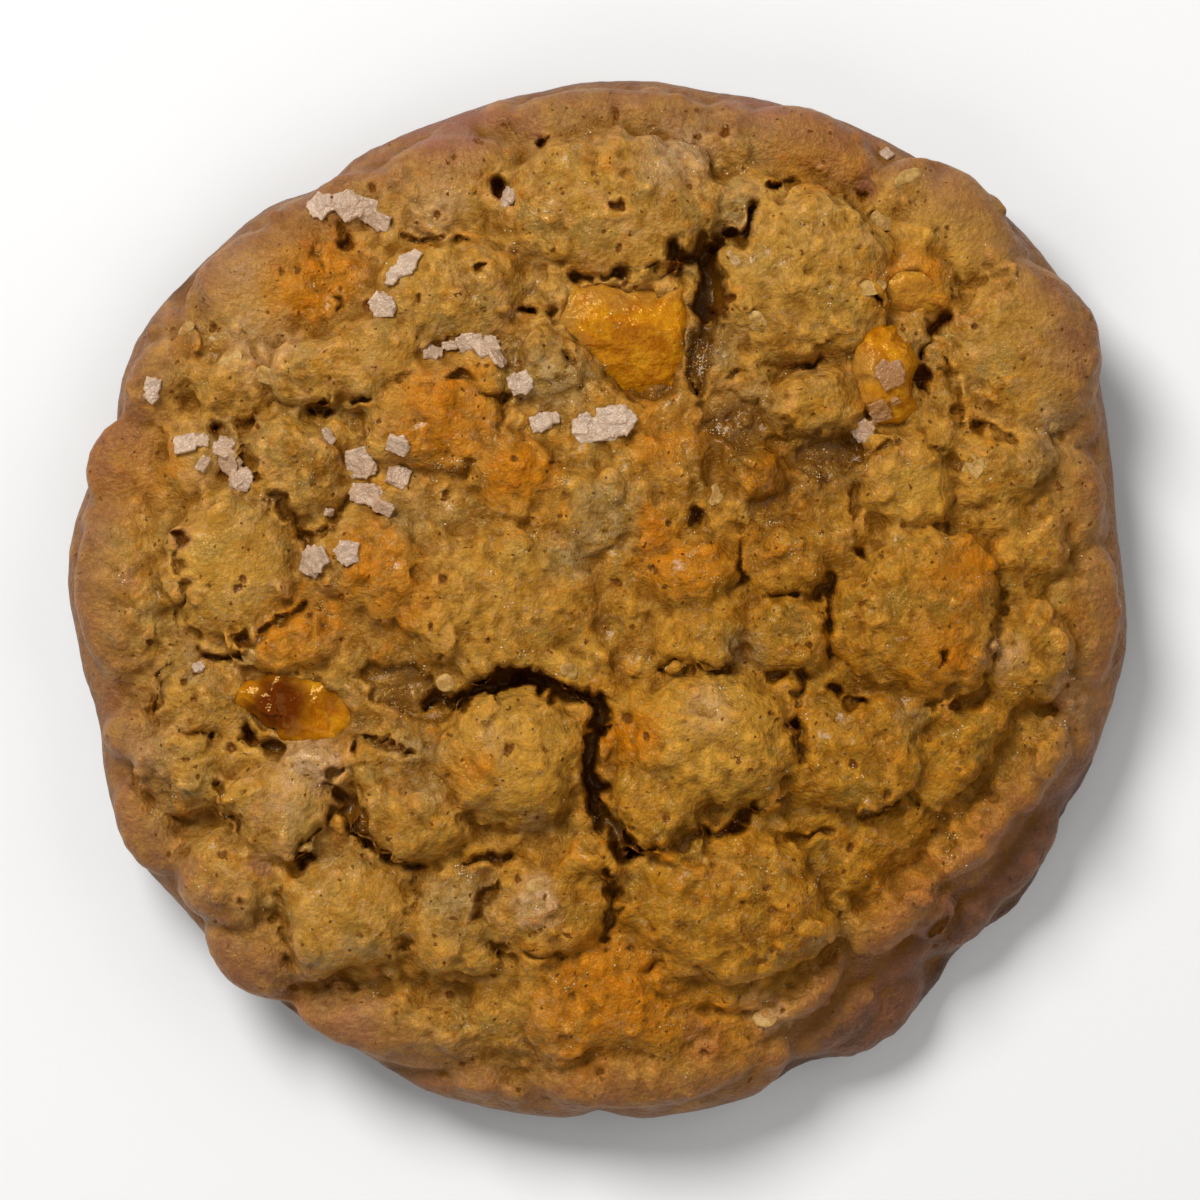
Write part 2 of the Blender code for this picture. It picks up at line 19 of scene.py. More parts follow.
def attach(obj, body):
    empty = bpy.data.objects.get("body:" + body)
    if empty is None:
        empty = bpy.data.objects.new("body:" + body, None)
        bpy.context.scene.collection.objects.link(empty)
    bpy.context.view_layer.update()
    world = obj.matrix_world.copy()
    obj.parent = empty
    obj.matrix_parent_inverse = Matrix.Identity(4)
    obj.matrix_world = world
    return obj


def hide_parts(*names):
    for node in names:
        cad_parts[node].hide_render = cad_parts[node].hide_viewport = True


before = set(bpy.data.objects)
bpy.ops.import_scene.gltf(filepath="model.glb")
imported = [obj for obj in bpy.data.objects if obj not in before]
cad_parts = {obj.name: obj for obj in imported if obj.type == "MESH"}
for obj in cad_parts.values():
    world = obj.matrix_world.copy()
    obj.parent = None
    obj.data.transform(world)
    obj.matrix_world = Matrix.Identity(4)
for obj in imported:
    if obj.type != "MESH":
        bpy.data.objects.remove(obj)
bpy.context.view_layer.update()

# %% [markdown]
# ## Measures and habits
#
# Blender works in metres and a cookie is small, so every table here is in millimetres and MM turns it
# into metres. An operator acts on whatever is selected, and loading the frame leaves its solids selected,
# so one helper always picks a single object first. Random draws and the noise both start from a seed, so
# that every run bakes the same cookie.

# %% Units and small helpers
MM = 0.001
TINY = 1e-6
SEED = 11
NOISE_SEED = 23
noise.seed_set(NOISE_SEED)


def pick(*objects):
    """Selects just these objects, the first of them active."""
    bpy.ops.object.select_all(action="DESELECT")
    for obj in objects:
        obj.select_set(True)
    bpy.context.view_layer.objects.active = objects[0]


def apply_modifiers(obj):
    pick(obj)
    for modifier in list(obj.modifiers):
        bpy.ops.object.modifier_apply(modifier=modifier.name)


def cos_and_sin(degrees):
    return math.cos(math.radians(degrees)), math.sin(math.radians(degrees))


def triangle_count(obj):
    return sum(len(face.vertices) - 2 for face in obj.data.polygons)


def corner_places(obj):
    """Every vertex's place, in millimetres, one row each."""
    places = np.empty(3 * len(obj.data.vertices))
    obj.data.vertices.foreach_get("co", places)
    return places.reshape(-1, 3) / MM


def corner_normals(obj):
    normals = np.empty(3 * len(obj.data.vertices))
    obj.data.vertices.foreach_get("normal", normals)
    return normals.reshape(-1, 3)


def move_corners(obj, places):
    obj.data.vertices.foreach_set("co", (places * MM).ravel())
    obj.data.update()


def soft_step(share):
    """From 0 to 1 with an eased start and end."""
    share = np.clip(share, 0, 1)
    return share * share * (3 - 2 * share)


# %% [markdown]
# ## The studio
#
# The photograph looks straight down on the cookie, so the camera hangs high above it with a long lens,
# which hardly shows perspective. The key light is soft and comes from the far left, because the hollows'
# near walls are lit and the undersides of the far lumps are dark. Two weaker lamps fill the shadows.

# %% Floor, lights and camera
FRAME_WIDTH = 96.0
LENS = 250.0
SENSOR = 36.0
SHARP_HEIGHT = 7.0
KEY_PLACE = (-300.0, 400.0, 600.0)
KEY_SIZE = 0.36
KEY_POWER = 5.77
FILL_PLACES = [(480.0, 120.0, 520.0), (-120.0, -480.0, 520.0)]
FILL_SIZE = 0.6
FILL_POWER = 0.95
SKY_COLOUR = (1.0, 1.0, 1.0, 1.0)
SKY_STRENGTH = 0.20
FLOOR_COLOUR = (0.84, 0.835, 0.825, 1.0)
FLOOR_ROUGHNESS = 0.9
FLOOR_WIDTH = 4000.0
FLOOR_GAP = 0.2


def plain_material(name, colour, roughness):
    material = bpy.data.materials.new(name)
    material.use_nodes = True
    shader = material.node_tree.nodes["Principled BSDF"]
    shader.inputs["Base Color"].default_value = colour
    shader.inputs["Roughness"].default_value = roughness
    return material


bpy.ops.mesh.primitive_plane_add(size=FLOOR_WIDTH * MM, location=(0, 0, -FLOOR_GAP * MM))
floor = bpy.context.object
floor.name = "floor"
floor.data.materials.append(plain_material("pale_floor", FLOOR_COLOUR, FLOOR_ROUGHNESS))

world = bpy.data.worlds.new("soft_sky")
bpy.context.scene.world = world
world.use_nodes = True
sky = world.node_tree.nodes["Background"]
sky.inputs["Color"].default_value = SKY_COLOUR
sky.inputs["Strength"].default_value = SKY_STRENGTH


def add_lamp(name, place, size, power):
    bpy.ops.object.light_add(type="AREA", location=Vector(place) * MM)
    lamp = bpy.context.object
    lamp.name = name
    lamp.data.shape = "DISK"
    lamp.data.size = size
    lamp.data.energy = power
    lamp.rotation_euler = (-Vector(place)).to_track_quat("-Z", "Y").to_euler()


add_lamp("key_light", KEY_PLACE, KEY_SIZE, KEY_POWER)
for number, place in enumerate(FILL_PLACES):
    add_lamp("fill_light_" + str(number + 1), place, FILL_SIZE, FILL_POWER)

bpy.ops.object.camera_add(location=(0, 0, SHARP_HEIGHT * MM + FRAME_WIDTH * MM * LENS / SENSOR))
camera = bpy.context.object
camera.data.lens = LENS
camera.data.sensor_width = SENSOR
camera.rotation_euler = (0, 0, 0)
bpy.context.scene.camera = camera
bpy.context.scene.view_settings.view_transform = "Standard"
print("camera height in mm:", round(camera.location.z / MM))

# %% [markdown]
# ## The cookie's plan
#
# A drop cookie spreads unevenly, so its edge is a circle with shallow lobes. Each lobe is an angle, a half
# width and a push, and a cosine rounds it. The cookie is two thick discs: a foot that spread on the tray,
# and a crown that rose on it and draws back at the lower right, where the foot lies bare. These are the
# same measures that the plain solids were built from.

# %% Edge and dome, as in the part's own solids
COOKIE_RADIUS = 41.75
FOOT_WIDEST = 2.6
FOOT_RISE = 4.2
FOOT_DROP = 5.0
CROWN_WIDEST = 5.5
CROWN_RISE = 3.5
CROWN_DROP = 5.0
CROWN_DOME = 5.0
EDGE_SHARPNESS = 9.0
EDGE_ROUNDNESS = 2.2

EDGE_LOBES = [
    (38, 34, 3.3),
    (65, 15, 0.8),
    (112, 30, -1.3),
    (124, 6, -1.0),
    (150, 12, 0.8),
    (160, 4, -0.6),
    (176, 14, 1.0),
    (193, 5, -0.5),
    (206, 12, 0.8),
    (232, 24, -0.5),
    (243, 8, -0.4),
    (270, 4, -0.8),
    (293, 7, -1.0),
    (316, 9, -1.5),
    (334, 8, -0.8),
    (356, 12, 0.6),
]
CROWN_RECESS = [
    (322, 24, -3.4),
    (303, 15, -4.2),
]
FOOT_LEDGE = [(315, 42, -2.6)]


def lobe_sum(angle, lobes):
    """How far the rounded lobes push the edge at an angle in degrees."""
    total = 0.0
    for centre, half_width, push in lobes:
        away = abs((angle - centre + 180) % 360 - 180)
        if away < half_width:
            total += push * math.cos(math.pi / 2 * away / half_width) ** 2
    return total


def foot_radius(angle):
    return COOKIE_RADIUS + lobe_sum(angle, EDGE_LOBES)


def crown_radius(angle):
    return foot_radius(angle) + lobe_sum(angle, CROWN_RECESS)


def foot_rise(angle):
    return FOOT_RISE + lobe_sum(angle, FOOT_LEDGE)


def crown_rise(_angle):
    return CROWN_RISE


def edge_profile(share):
    """Height share of a rounded edge, from 1 in the middle to 0 at the rim."""
    return (1 - min(share, 1.0) ** EDGE_SHARPNESS) ** (1 / EDGE_ROUNDNESS)


def dome_height(x, y):
    """Height of the crown without its lumps."""
    angle = math.degrees(math.atan2(y, x)) % 360
    share = math.hypot(x, y) / crown_radius(angle)
    if share >= 1:
        return CROWN_WIDEST
    return CROWN_WIDEST + CROWN_RISE * edge_profile(share) + CROWN_DOME * (1 - share * share)


# %% [markdown]
# ## The two discs
#
# Each disc starts as a sphere, whose rings are spread out to the edge's line and pressed to the profile of
# a flat-topped bun.

# %% Foot and crown
DISC_SEGMENTS = 160
DISC_RINGS = 72


def make_disc(name, radius, widest, rise, drop, dome):
    bpy.ops.mesh.primitive_uv_sphere_add(segments=DISC_SEGMENTS, ring_count=DISC_RINGS, radius=1.0)
    disc = bpy.context.object
    disc.name = name
    for vert in disc.data.vertices:
        flat = math.hypot(vert.co.x, vert.co.y)
        share = math.sqrt(min(flat, 1.0))
        angle = math.degrees(math.atan2(vert.co.y, vert.co.x)) % 360
        reach = share * radius(angle)
        if vert.co.z >= 0:
            height = widest + rise(angle) * edge_profile(share) + dome * (1 - share * share)
        else:
            height = widest - drop * edge_profile(share)
        way = Vector((vert.co.x, vert.co.y, 0))
        if flat > TINY:
            way.normalize()
        vert.co = Vector((way.x * reach, way.y * reach, height)) * MM
    return disc


foot = make_disc("foot", foot_radius, FOOT_WIDEST, foot_rise, FOOT_DROP, dome=0.0)
crown = make_disc("crown", crown_radius, CROWN_WIDEST, crown_rise, CROWN_DROP, CROWN_DOME)
print("two discs,", triangle_count(foot) + triangle_count(crown), "triangles")

# %% [markdown]
# ## The named lumps
#
# What makes this cookie itself is where its lumps lie, so the large ones are listed one by one: x, y, half
# length, half width, turn and how far each stands out of the dome. The long ones on the bare ledge have a
# height of their own instead: x, y, the height of the middle, half length, half width and turn. One lump is
# modelled, and each of the others is a stretched copy of it.

# %% Table of lumps
LUMP_SUNK = 0.9
LUMPS = [
    # Far side
    (1.0, 31.0, 9.3, 6.3, 0, 2.9),
    (2.0, 37.6, 9.5, 3.2, -4, 1.0),
    (17.0, 35.8, 5.8, 3.2, -25, 1.5),
    (16.0, 25.3, 7.2, 7.2, 0, 2.8),
    (12.0, 31.5, 3.0, 2.4, 30, 1.8),
    (-12.0, 32.5, 6.5, 4.6, 15, 1.4),
    (-12.0, 24.0, 6.5, 4.5, 5, 2.0),
    (-27.2, 23.8, 7.0, 5.2, 40, 1.6),
    (-20.0, 31.0, 4.5, 3.0, 30, 1.2),
    (27.2, 29.6, 7.0, 4.8, -40, 1.7),
    (25.0, 26.0, 3.6, 3.0, 0, 1.7),
    # Right side
    (33.5, 20.0, 7.4, 6.4, -60, 2.1),
    (17.0, 15.3, 4.2, 3.0, 0, 2.0),
    (24.3, 9.6, 4.6, 4.4, 0, 2.0),
    (31.5, 11.0, 5.0, 3.4, 20, 1.5),
    (25.0, -1.5, 6.8, 6.8, 0, 3.2),
    (36.8, 8.0, 3.6, 4.8, 0, 0.9),
    (34.0, 3.6, 3.6, 3.0, 0, 1.3),
    (38.8, -1.0, 2.8, 6.0, 0, 0.8),
    (33.4, -4.6, 4.2, 4.4, 0, 1.6),
    (20.0, -12.0, 6.6, 4.6, 10, 2.0),
    (27.5, -12.5, 5.0, 3.6, 40, 1.5),
    (34.0, -12.5, 4.4, 3.0, 52, 1.2),
    (29.0, -18.8, 5.0, 2.6, 45, 1.3),
    (23.0, -24.6, 5.0, 2.8, 40, 1.2),
    # Middle
    (-8.0, 0.0, 8.5, 6.4, 0, 1.7),
    (7.2, 2.0, 4.0, 2.9, 0, 1.9),
    (15.0, 3.2, 3.2, 2.8, 0, 1.8),
    (15.2, -2.4, 3.4, 3.2, 0, 1.7),
    (8.0, -2.6, 4.0, 2.6, 0, 1.7),
    (12.4, 9.9, 3.2, 2.3, -20, 1.6),
    (4.6, 9.0, 3.8, 4.4, 0, 1.0),
    (-4.0, 18.4, 3.4, 2.8, 0, 1.2),
    (-1.5, 7.0, 5.0, 3.6, 0, 1.0),
    (-7.0, -12.6, 6.2, 5.6, 0, 3.2),
    (-14.6, -17.2, 4.8, 3.4, -18, 2.4),
    (8.4, -11.0, 7.2, 5.8, -8, 3.3),
    (4.6, -16.2, 4.0, 3.6, 0, 2.8),
    (-16.4, -12.6, 3.8, 3.0, 20, 1.5),
    (-1.4, -6.0, 4.0, 1.8, -12, 1.2),
    # Left side
    (-19.4, 18.9, 6.6, 3.3, 16, 3.2),
    (-12.6, 14.4, 6.4, 4.0, -8, 2.2),
    (-6.6, 10.2, 4.0, 2.9, -30, 1.9),
    (-29.0, 18.3, 4.4, 2.6, 0, 1.4),
    (-24.4, 10.6, 4.4, 4.6, 0, 2.1),
    (-29.0, 2.8, 5.6, 6.4, 15, 2.4),
    (-17.6, 2.4, 3.6, 4.8, 38, 2.0),
    (-37.6, 1.0, 4.4, 7.4, 0, 1.3),
    (-34.2, 17.2, 4.4, 3.4, 48, 1.2),
    (-36.7, 10.2, 4.4, 4.6, 0, 0.7),
    (-31.6, 11.2, 2.8, 3.0, 0, 1.3),
    (-24.6, -3.2, 4.8, 2.4, 0, 1.9),
    (-31.4, -7.6, 4.2, 2.8, 0, 1.4),
    (-22.0, -13.0, 3.0, 1.8, -10, 1.9),
    # Near side
    (-25.6, -16.4, 4.8, 4.0, -15, 2.7),
    (-32.6, -13.4, 4.2, 3.8, 0, 2.0),
    (-35.8, -18.0, 2.7, 4.4, 25, 1.1),
    (-36.8, -10.6, 3.0, 2.3, 0, 1.3),
    (-28.6, -21.8, 5.2, 4.0, 20, 2.0),
    (-20.2, -24.8, 5.6, 5.0, 0, 2.6),
    (-26.8, -28.0, 5.2, 3.6, -35, 1.5),
    (-12.0, -25.4, 3.8, 4.4, 0, 1.8),
    (-4.2, -24.4, 5.0, 4.6, 0, 2.0),
    (-0.6, -20.4, 3.2, 2.6, 0, 1.8),
    (9.6, -24.4, 8.6, 6.2, -8, 2.2),
    (10.4, -30.2, 5.0, 2.6, 0, 1.3),
    (-15.6, -34.0, 9.0, 3.0, -12, 1.1),
    (-0.8, -31.6, 6.4, 4.4, 0, 1.5),
    (3.0, -37.4, 8.6, 3.2, 4, 0.9),
    (15.4, -30.6, 4.6, 2.8, 35, 1.2),
]
LEDGE_LUMP_HEIGHT = 2.4
LEDGE_LUMPS = [
    (35.6, -14.0, 3.8, 5.6, 2.7, 62),
    (32.6, -19.6, 4.2, 5.6, 3.4, 55),
    (28.6, -24.4, 4.0, 5.8, 2.9, 44),
    (20.6, -31.6, 3.6, 6.4, 4.4, 36),
    (24.2, -27.4, 4.6, 5.6, 2.6, 42),
    (18.4, -33.4, 4.8, 5.2, 2.4, 34),
]


def lump_solid(lump):
    """Centre, radii and turn of a named lump, whose middle sits just under the dome."""
    x, y, length, width, turn, height = lump
    centre = (x, y, dome_height(x, y) - LUMP_SUNK)
    return centre, (length, width, height + LUMP_SUNK), turn


LUMP_SOLIDS = [lump_solid(lump) for lump in LUMPS]


def top_height(x, y):
    """Height of the dome and its named lumps together."""
    highest = dome_height(x, y)
    for centre, radii, turn in LUMP_SOLIDS:
        cos_turn, sin_turn = cos_and_sin(turn)
        along = (x - centre[0]) * cos_turn + (y - centre[1]) * sin_turn
        across = (y - centre[1]) * cos_turn - (x - centre[0]) * sin_turn
        inside = 1 - (along / radii[0]) ** 2 - (across / radii[1]) ** 2
        if inside > 0:
            highest = max(highest, centre[2] + radii[2] * math.sqrt(inside))
    return highest


# %% Model one lump and copy it to every place
LUMP_SHARPNESS = 3.2


def make_lump(name, subdivisions):
    """A ball whose rings are spread outwards, so that its top is flatter and its side steeper."""
    bpy.ops.mesh.primitive_ico_sphere_add(subdivisions=subdivisions, radius=1.0)
    lump = bpy.context.object
    lump.name = name
    for vert in lump.data.vertices:
        flat = math.hypot(vert.co.x, vert.co.y)
        wider = flat ** (2 / LUMP_SHARPNESS - 1) if flat > TINY else 1.0
        vert.co = Vector((vert.co.x * wider, vert.co.y * wider, vert.co.z))
    return lump


large_lump = make_lump("large_lump", subdivisions=4)
small_lump = make_lump("small_lump", subdivisions=3)


def stamp(pattern, centre, radii, turn=0.0, lean=(0.0, 0.0)):
    """A copy of the pattern with its own mesh, stretched, leaned and turned into place."""
    copy = bpy.data.objects.new(pattern.name, pattern.data.copy())
    bpy.context.scene.collection.objects.link(copy)
    copy.data.transform(
        Matrix.Translation(Vector(centre) * MM)
        @ Matrix.Rotation(math.radians(turn), 4, "Z")
        @ Matrix.Rotation(math.radians(lean[0]), 4, "X")
        @ Matrix.Rotation(math.radians(lean[1]), 4, "Y")
        @ Matrix.Diagonal((radii[0] * MM, radii[1] * MM, radii[2] * MM, 1.0))
    )
    return copy


heap = [foot, crown]
for centre, radii, turn in LUMP_SOLIDS:
    heap.append(stamp(large_lump, centre, radii, turn))
for x, y, middle, length, width, turn in LEDGE_LUMPS:
    heap.append(stamp(large_lump, (x, y, middle), (length, width, LEDGE_LUMP_HEIGHT), turn))
print(len(LUMPS), "named lumps and", len(LEDGE_LUMPS), "on the ledge")

# %% [markdown]
# ## Crags and the side
#
# The crown carries shallow crags all over and the side is a ring of lumps, because drop-cookie dough is
# never smooth. Both follow a rule: a sunflower's spiral or an even ring spreads them and a seeded draw
# varies them.

# %% Stamp the crags and side lumps
CRAG_MARGIN = 3.0
CRAG_SHIFT = 0.8
CRAG_WIDTHS = (0.65, 1.0)
BARE_FOOT = (283, 345)
SIDE_ROWS = [(3.0, 30), (6.8, 34)]
SIDE_SIZES = (2.6, 4.4)
SIDE_SHIFT = 0.25
SIDE_LIFT = 0.8
SIDE_PASS = -0.6
SIDE_WIDTH = 0.9
SIDE_FLATNESS = (0.55, 0.8)


def spiral(count, reach):
    """Places spread evenly over the crown, from the middle out."""
    golden = math.pi * (3 - math.sqrt(5))
    for i in range(count):
        away = reach * math.sqrt((i + 0.5) / count)
        yield away * math.cos(i * golden), away * math.sin(i * golden)


def add_crags(count, sizes, proud, flatness):
    draw = random.Random(SEED)
    for spot_x, spot_y in spiral(count, COOKIE_RADIUS - CRAG_MARGIN):
        x = spot_x + draw.uniform(-CRAG_SHIFT, CRAG_SHIFT)
        y = spot_y + draw.uniform(-CRAG_SHIFT, CRAG_SHIFT)
        size = draw.uniform(*sizes)
        thickness = flatness * size
        radii = (size, size * draw.uniform(*CRAG_WIDTHS), thickness)
        centre = (x, y, top_height(x, y) + draw.uniform(*proud) - thickness)
        heap.append(stamp(small_lump, centre, radii, draw.uniform(0, 180)))


def add_side_lumps():
    """Lumps round the side, set back so that they nearly reach the edge's line, and none on the bare foot."""
    draw = random.Random(SEED + 1)
    for level, count in SIDE_ROWS:
        for i in range(count):
            angle = 360 * (i + draw.uniform(-SIDE_SHIFT, SIDE_SHIFT)) / count
            radius = foot_radius if level < CROWN_WIDEST else crown_radius
            size = draw.uniform(*SIDE_SIZES)
            if BARE_FOOT[0] < angle < BARE_FOOT[1]:
                continue
            reach = radius(angle) - size + SIDE_PASS
            cos_angle, sin_angle = cos_and_sin(angle)
            centre = (reach * cos_angle, reach * sin_angle, level + draw.uniform(-SIDE_LIFT, SIDE_LIFT))
            radii = (size, size * SIDE_WIDTH, size * draw.uniform(*SIDE_FLATNESS))
            heap.append(stamp(small_lump, centre, radii, angle))


add_crags(count=190, sizes=(1.4, 2.6), proud=(0.0, 0.40), flatness=0.7)
add_side_lumps()
print(len(heap), "shapes in the heap")

# %% [markdown]
# ## One skin
#
# Baking made one body of it all. A voxel remesh does the same: it wraps every overlapping shape in a single
# closed skin and leaves a crease wherever two of them meet. This first skin is a coarse one, and noise
# pushes its points about in plan, so that no lump keeps an ellipse's outline. Near the rim it hardly does,
# because the edge has its line already.

# %% Join and wrap
COARSE_VOXEL = 0.42
WARPS = [(1.0, 4.2), (0.35, 1.4)]
CALM_RIM = 6.0
RIM_FREEDOM = 0.15


def wrap(obj, voxel):
    merge = obj.modifiers.new("one_skin", "REMESH")
    merge.mode = "VOXEL"
    merge.voxel_size = voxel * MM
    apply_modifiers(obj)


def frayed(plan, amount, grain):
    """The plan's points pushed about by noise, so that lines drawn on them fray."""
    pushes = [noise.noise_vector(Vector((x / grain, y / grain, 0.0))) for x, y in plan.tolist()]
    return plan + amount * np.array(pushes)[:, :2]


def edge_distance(plan):
    """How far inside the crown's edge each point of the plan lies."""
    angles = np.degrees(np.arctan2(plan[:, 1], plan[:, 0])) % 360
    edge = np.array([crown_radius(angle) for angle in range(360)])[angles.astype(int) % 360]
    return edge - np.hypot(plan[:, 0], plan[:, 1])


pick(*heap)
bpy.ops.object.join()
dough = bpy.context.object
dough.name = "baked_dough"
wrap(dough, COARSE_VOXEL)
places = corner_places(dough)
free = RIM_FREEDOM + (1 - RIM_FREEDOM) * soft_step(edge_distance(places[:, :2]) / CALM_RIM)
for amount, grain in WARPS:
    places[:, :2] += free[:, None] * (frayed(places[:, :2], amount, grain) - places[:, :2])
move_corners(dough, places)
print("coarse skin:", triangle_count(dough), "triangles")

# %% [markdown]
# ## Gaps, valleys and pits
#
# Where lumps drew apart they left ragged gaps that go down to moist dough, and where they only leaned
# apart there are wide valleys. Each is a depth, a half width and a line, and the points near the line are
# pressed down. A pit is round: x, y, radius and depth. Noise frays the edges of the gaps and the pits.

# %% Table of gaps
GAP_WALL = 0.42
GAP_SLOPE = 1.4
NARROW = 0.45
CLOSE_GRAIN = 2.6
CLOSE_SLICE = 3.0
OPEN_MEAN = 0.55
OPEN_GAIN = 1.6
FRAYS = [(0.9, 2.6), (0.7, 1.1), (0.3, 0.5)]
GAPS = [
    (3.4, 1.0, [(8.6, 27.2), (8.4, 23.0)]),
    (1.9, 0.8, [(8.4, 23.0), (7.8, 17.4)]),
    (0.8, 1.8, [(9.5, 15.0), (17.5, 11.0)]),
    (1.3, 1.0, [(17.0, 11.5), (20.0, 12.5)]),
    (1.0, 0.2, [(12.0, 7.5), (13.0, 4.5)]),
    (2.0, 0.25, [(-4.6, 25.9), (0.0, 25.4), (4.4, 27.0)]),
    (3.0, 0.5, [(6.0, 27.6), (9.5, 28.1)]),
    (2.6, 0.3, [(9.5, 28.1), (11.5, 29.6), (12.4, 31.4), (14.0, 32.9)]),
    (1.2, 0.1, [(14.0, 32.9), (16.5, 33.4), (20.5, 32.2)]),
    (2.0, 0.22, [(-22.8, 15.4), (-18.5, 15.8), (-14.6, 18.3)]),
    (1.1, 1.7, [(-17.5, -6.5), (-13.5, -8.2)]),
    (3.0, 0.5, [(-13.5, -8.2), (-11.0, -7.8), (-6.7, -5.6), (-3.0, -7.2), (-0.2, -8.2)]),
    (3.2, 0.6, [(-0.2, -8.2), (-0.6, -12.0), (-0.4, -16.0), (2.2, -20.0)]),
    (2.0, 0.35, [(16.4, -6.2), (18.4, -7.0), (20.6, -8.0)]),
    (1.4, 0.3, [(18.2, 1.6), (18.4, -4.2)]),
    (2.0, 0.2, [(27.0, 22.8), (26.4, 21.0), (25.7, 19.0), (25.8, 16.2)]),
    (1.6, 0.2, [(21.4, 24.4), (22.4, 23.4)]),
    (1.8, 0.3, [(-28.4, -10.6), (-26.6, -11.2), (-25.8, -13.0)]),
    (1.0, 0.2, [(-19.0, -10.8), (-19.4, -12.6), (-21.6, -14.4)]),
    (1.4, 0.2, [(-32.8, -10.2), (-30.8, -10.7)]),
    (2.0, 0.15, [(-4.0, 25.0), (-3.6, 21.6), (-1.6, 17.6)]),
    (1.6, 0.35, [(-18.6, -19.6), (-13.6, -21.6), (-7.4, -20.2)]),
    (1.2, 0.15, [(-8.4, -22.4), (-10.6, -27.6)]),
    (1.6, 0.35, [(-27.4, 9.0), (-22.6, 5.0)]),
    (1.6, 0.6, [(-20.2, -15.6), (-18.6, -19.6)]),
    # Creases where neighbouring lumps touch
    (1.5, 0.25, [(16.0, -6.0), (15.7, -9.8), (16.4, -13.2), (10.9, -17.8), (6.4, -19.2), (2.4, -20.2)]),
    (0.8, 0.20, [(31.4, 4.4), (32.0, -1.0), (30.4, -6.4), (26.0, -8.8)]),
    (1.0, 0.25, [(14.4, -19.4), (19.6, -17.6), (25.4, -15.8)]),
    (1.3, 0.25, [(-30.2, -12.8), (-29.8, -17.4), (-26.0, -20.2), (-22.4, -19.2), (-20.4, -15.8)]),
    (0.8, 0.20, [(-25.6, -23.6), (-24.6, -29.4), (-19.2, -30.8)]),
    (1.1, 0.20, [(-15.4, -28.4), (-14.4, -22.6)]),
    (1.2, 0.25, [(0.8, -21.2), (0.6, -27.0), (-3.6, -28.6), (-8.4, -27.6)]),
    (1.0, 0.20, [(-33.6, 5.8), (-33.2, 0.8), (-33.8, -4.6), (-36.2, -8.6)]),
    (1.2, 0.25, [(-33.4, -4.2), (-28.4, -4.4), (-23.8, -0.6)]),
    (0.9, 0.20, [(27.4, 19.0), (28.6, 14.4), (33.4, 12.6)]),
    (0.6, 0.20, [(28.4, 25.6), (32.6, 25.8)]),
    (1.2, 0.25, [(22.0, 31.0), (21.6, 27.4)]),
    (1.5, 0.30, [(10.2, 18.0), (14.2, 17.8), (19.2, 19.6)]),
    (0.9, 0.20, [(20.4, 6.6), (20.6, 11.4), (25.0, 13.6), (28.6, 10.0), (27.6, 5.4)]),
    (1.3, 0.25, [(-27.2, 9.4), (-29.0, 14.0), (-24.8, 15.6)]),
    (1.1, 0.25, [(-20.2, 12.6), (-19.6, 8.6), (-21.8, 5.6)]),
    (1.2, 0.25, [(-11.4, 18.2), (-7.6, 16.0), (-8.6, 11.6)]),
    (1.0, 0.20, [(3.4, -1.6), (5.2, -5.6), (10.4, -5.2), (15.2, -5.6)]),
    (1.2, 0.25, [(11.2, 5.6), (11.0, 0.6), (13.4, -0.4), (18.0, 0.8)]),
    (1.1, 0.25, [(-17.6, 28.4), (-12.0, 28.6), (-7.0, 28.0)]),
    (1.0, 0.25, [(-20.6, 22.6), (-22.4, 27.6), (-20.6, 29.6)]),
    (1.2, 0.25, [(-14.6, -12.6), (-18.4, -10.6)]),
]

# %% Tables of valleys and pits
VALLEY_WALL = 2.0
VALLEYS = [
    (1.4, 0.3, [(-24.4, -31.6), (-18.0, -30.6), (-11.0, -31.2)]),
    (1.0, 0.2, [(-16.0, -37.0), (-6.4, -37.2)]),
    (1.6, 0.3, [(-35.6, -14.6), (-33.4, -17.2), (-29.8, -17.6)]),
    (1.3, 0.3, [(21.5, -24.0), (25.0, -21.4), (30.5, -16.0), (35.4, -8.5)]),
    (1.3, 0.3, [(5.0, -29.2), (8.6, -31.5), (13.6, -31.3), (18.0, -28.5)]),
    (1.0, 0.2, [(-34.0, 26.0), (-30.4, 20.4), (-33.6, 14.4)]),
    (0.8, 0.2, [(26.6, 34.6), (23.6, 30.2), (23.2, 27.6)]),
]
PIT_WALL = 1.25
PIT_SLOPE = 0.95
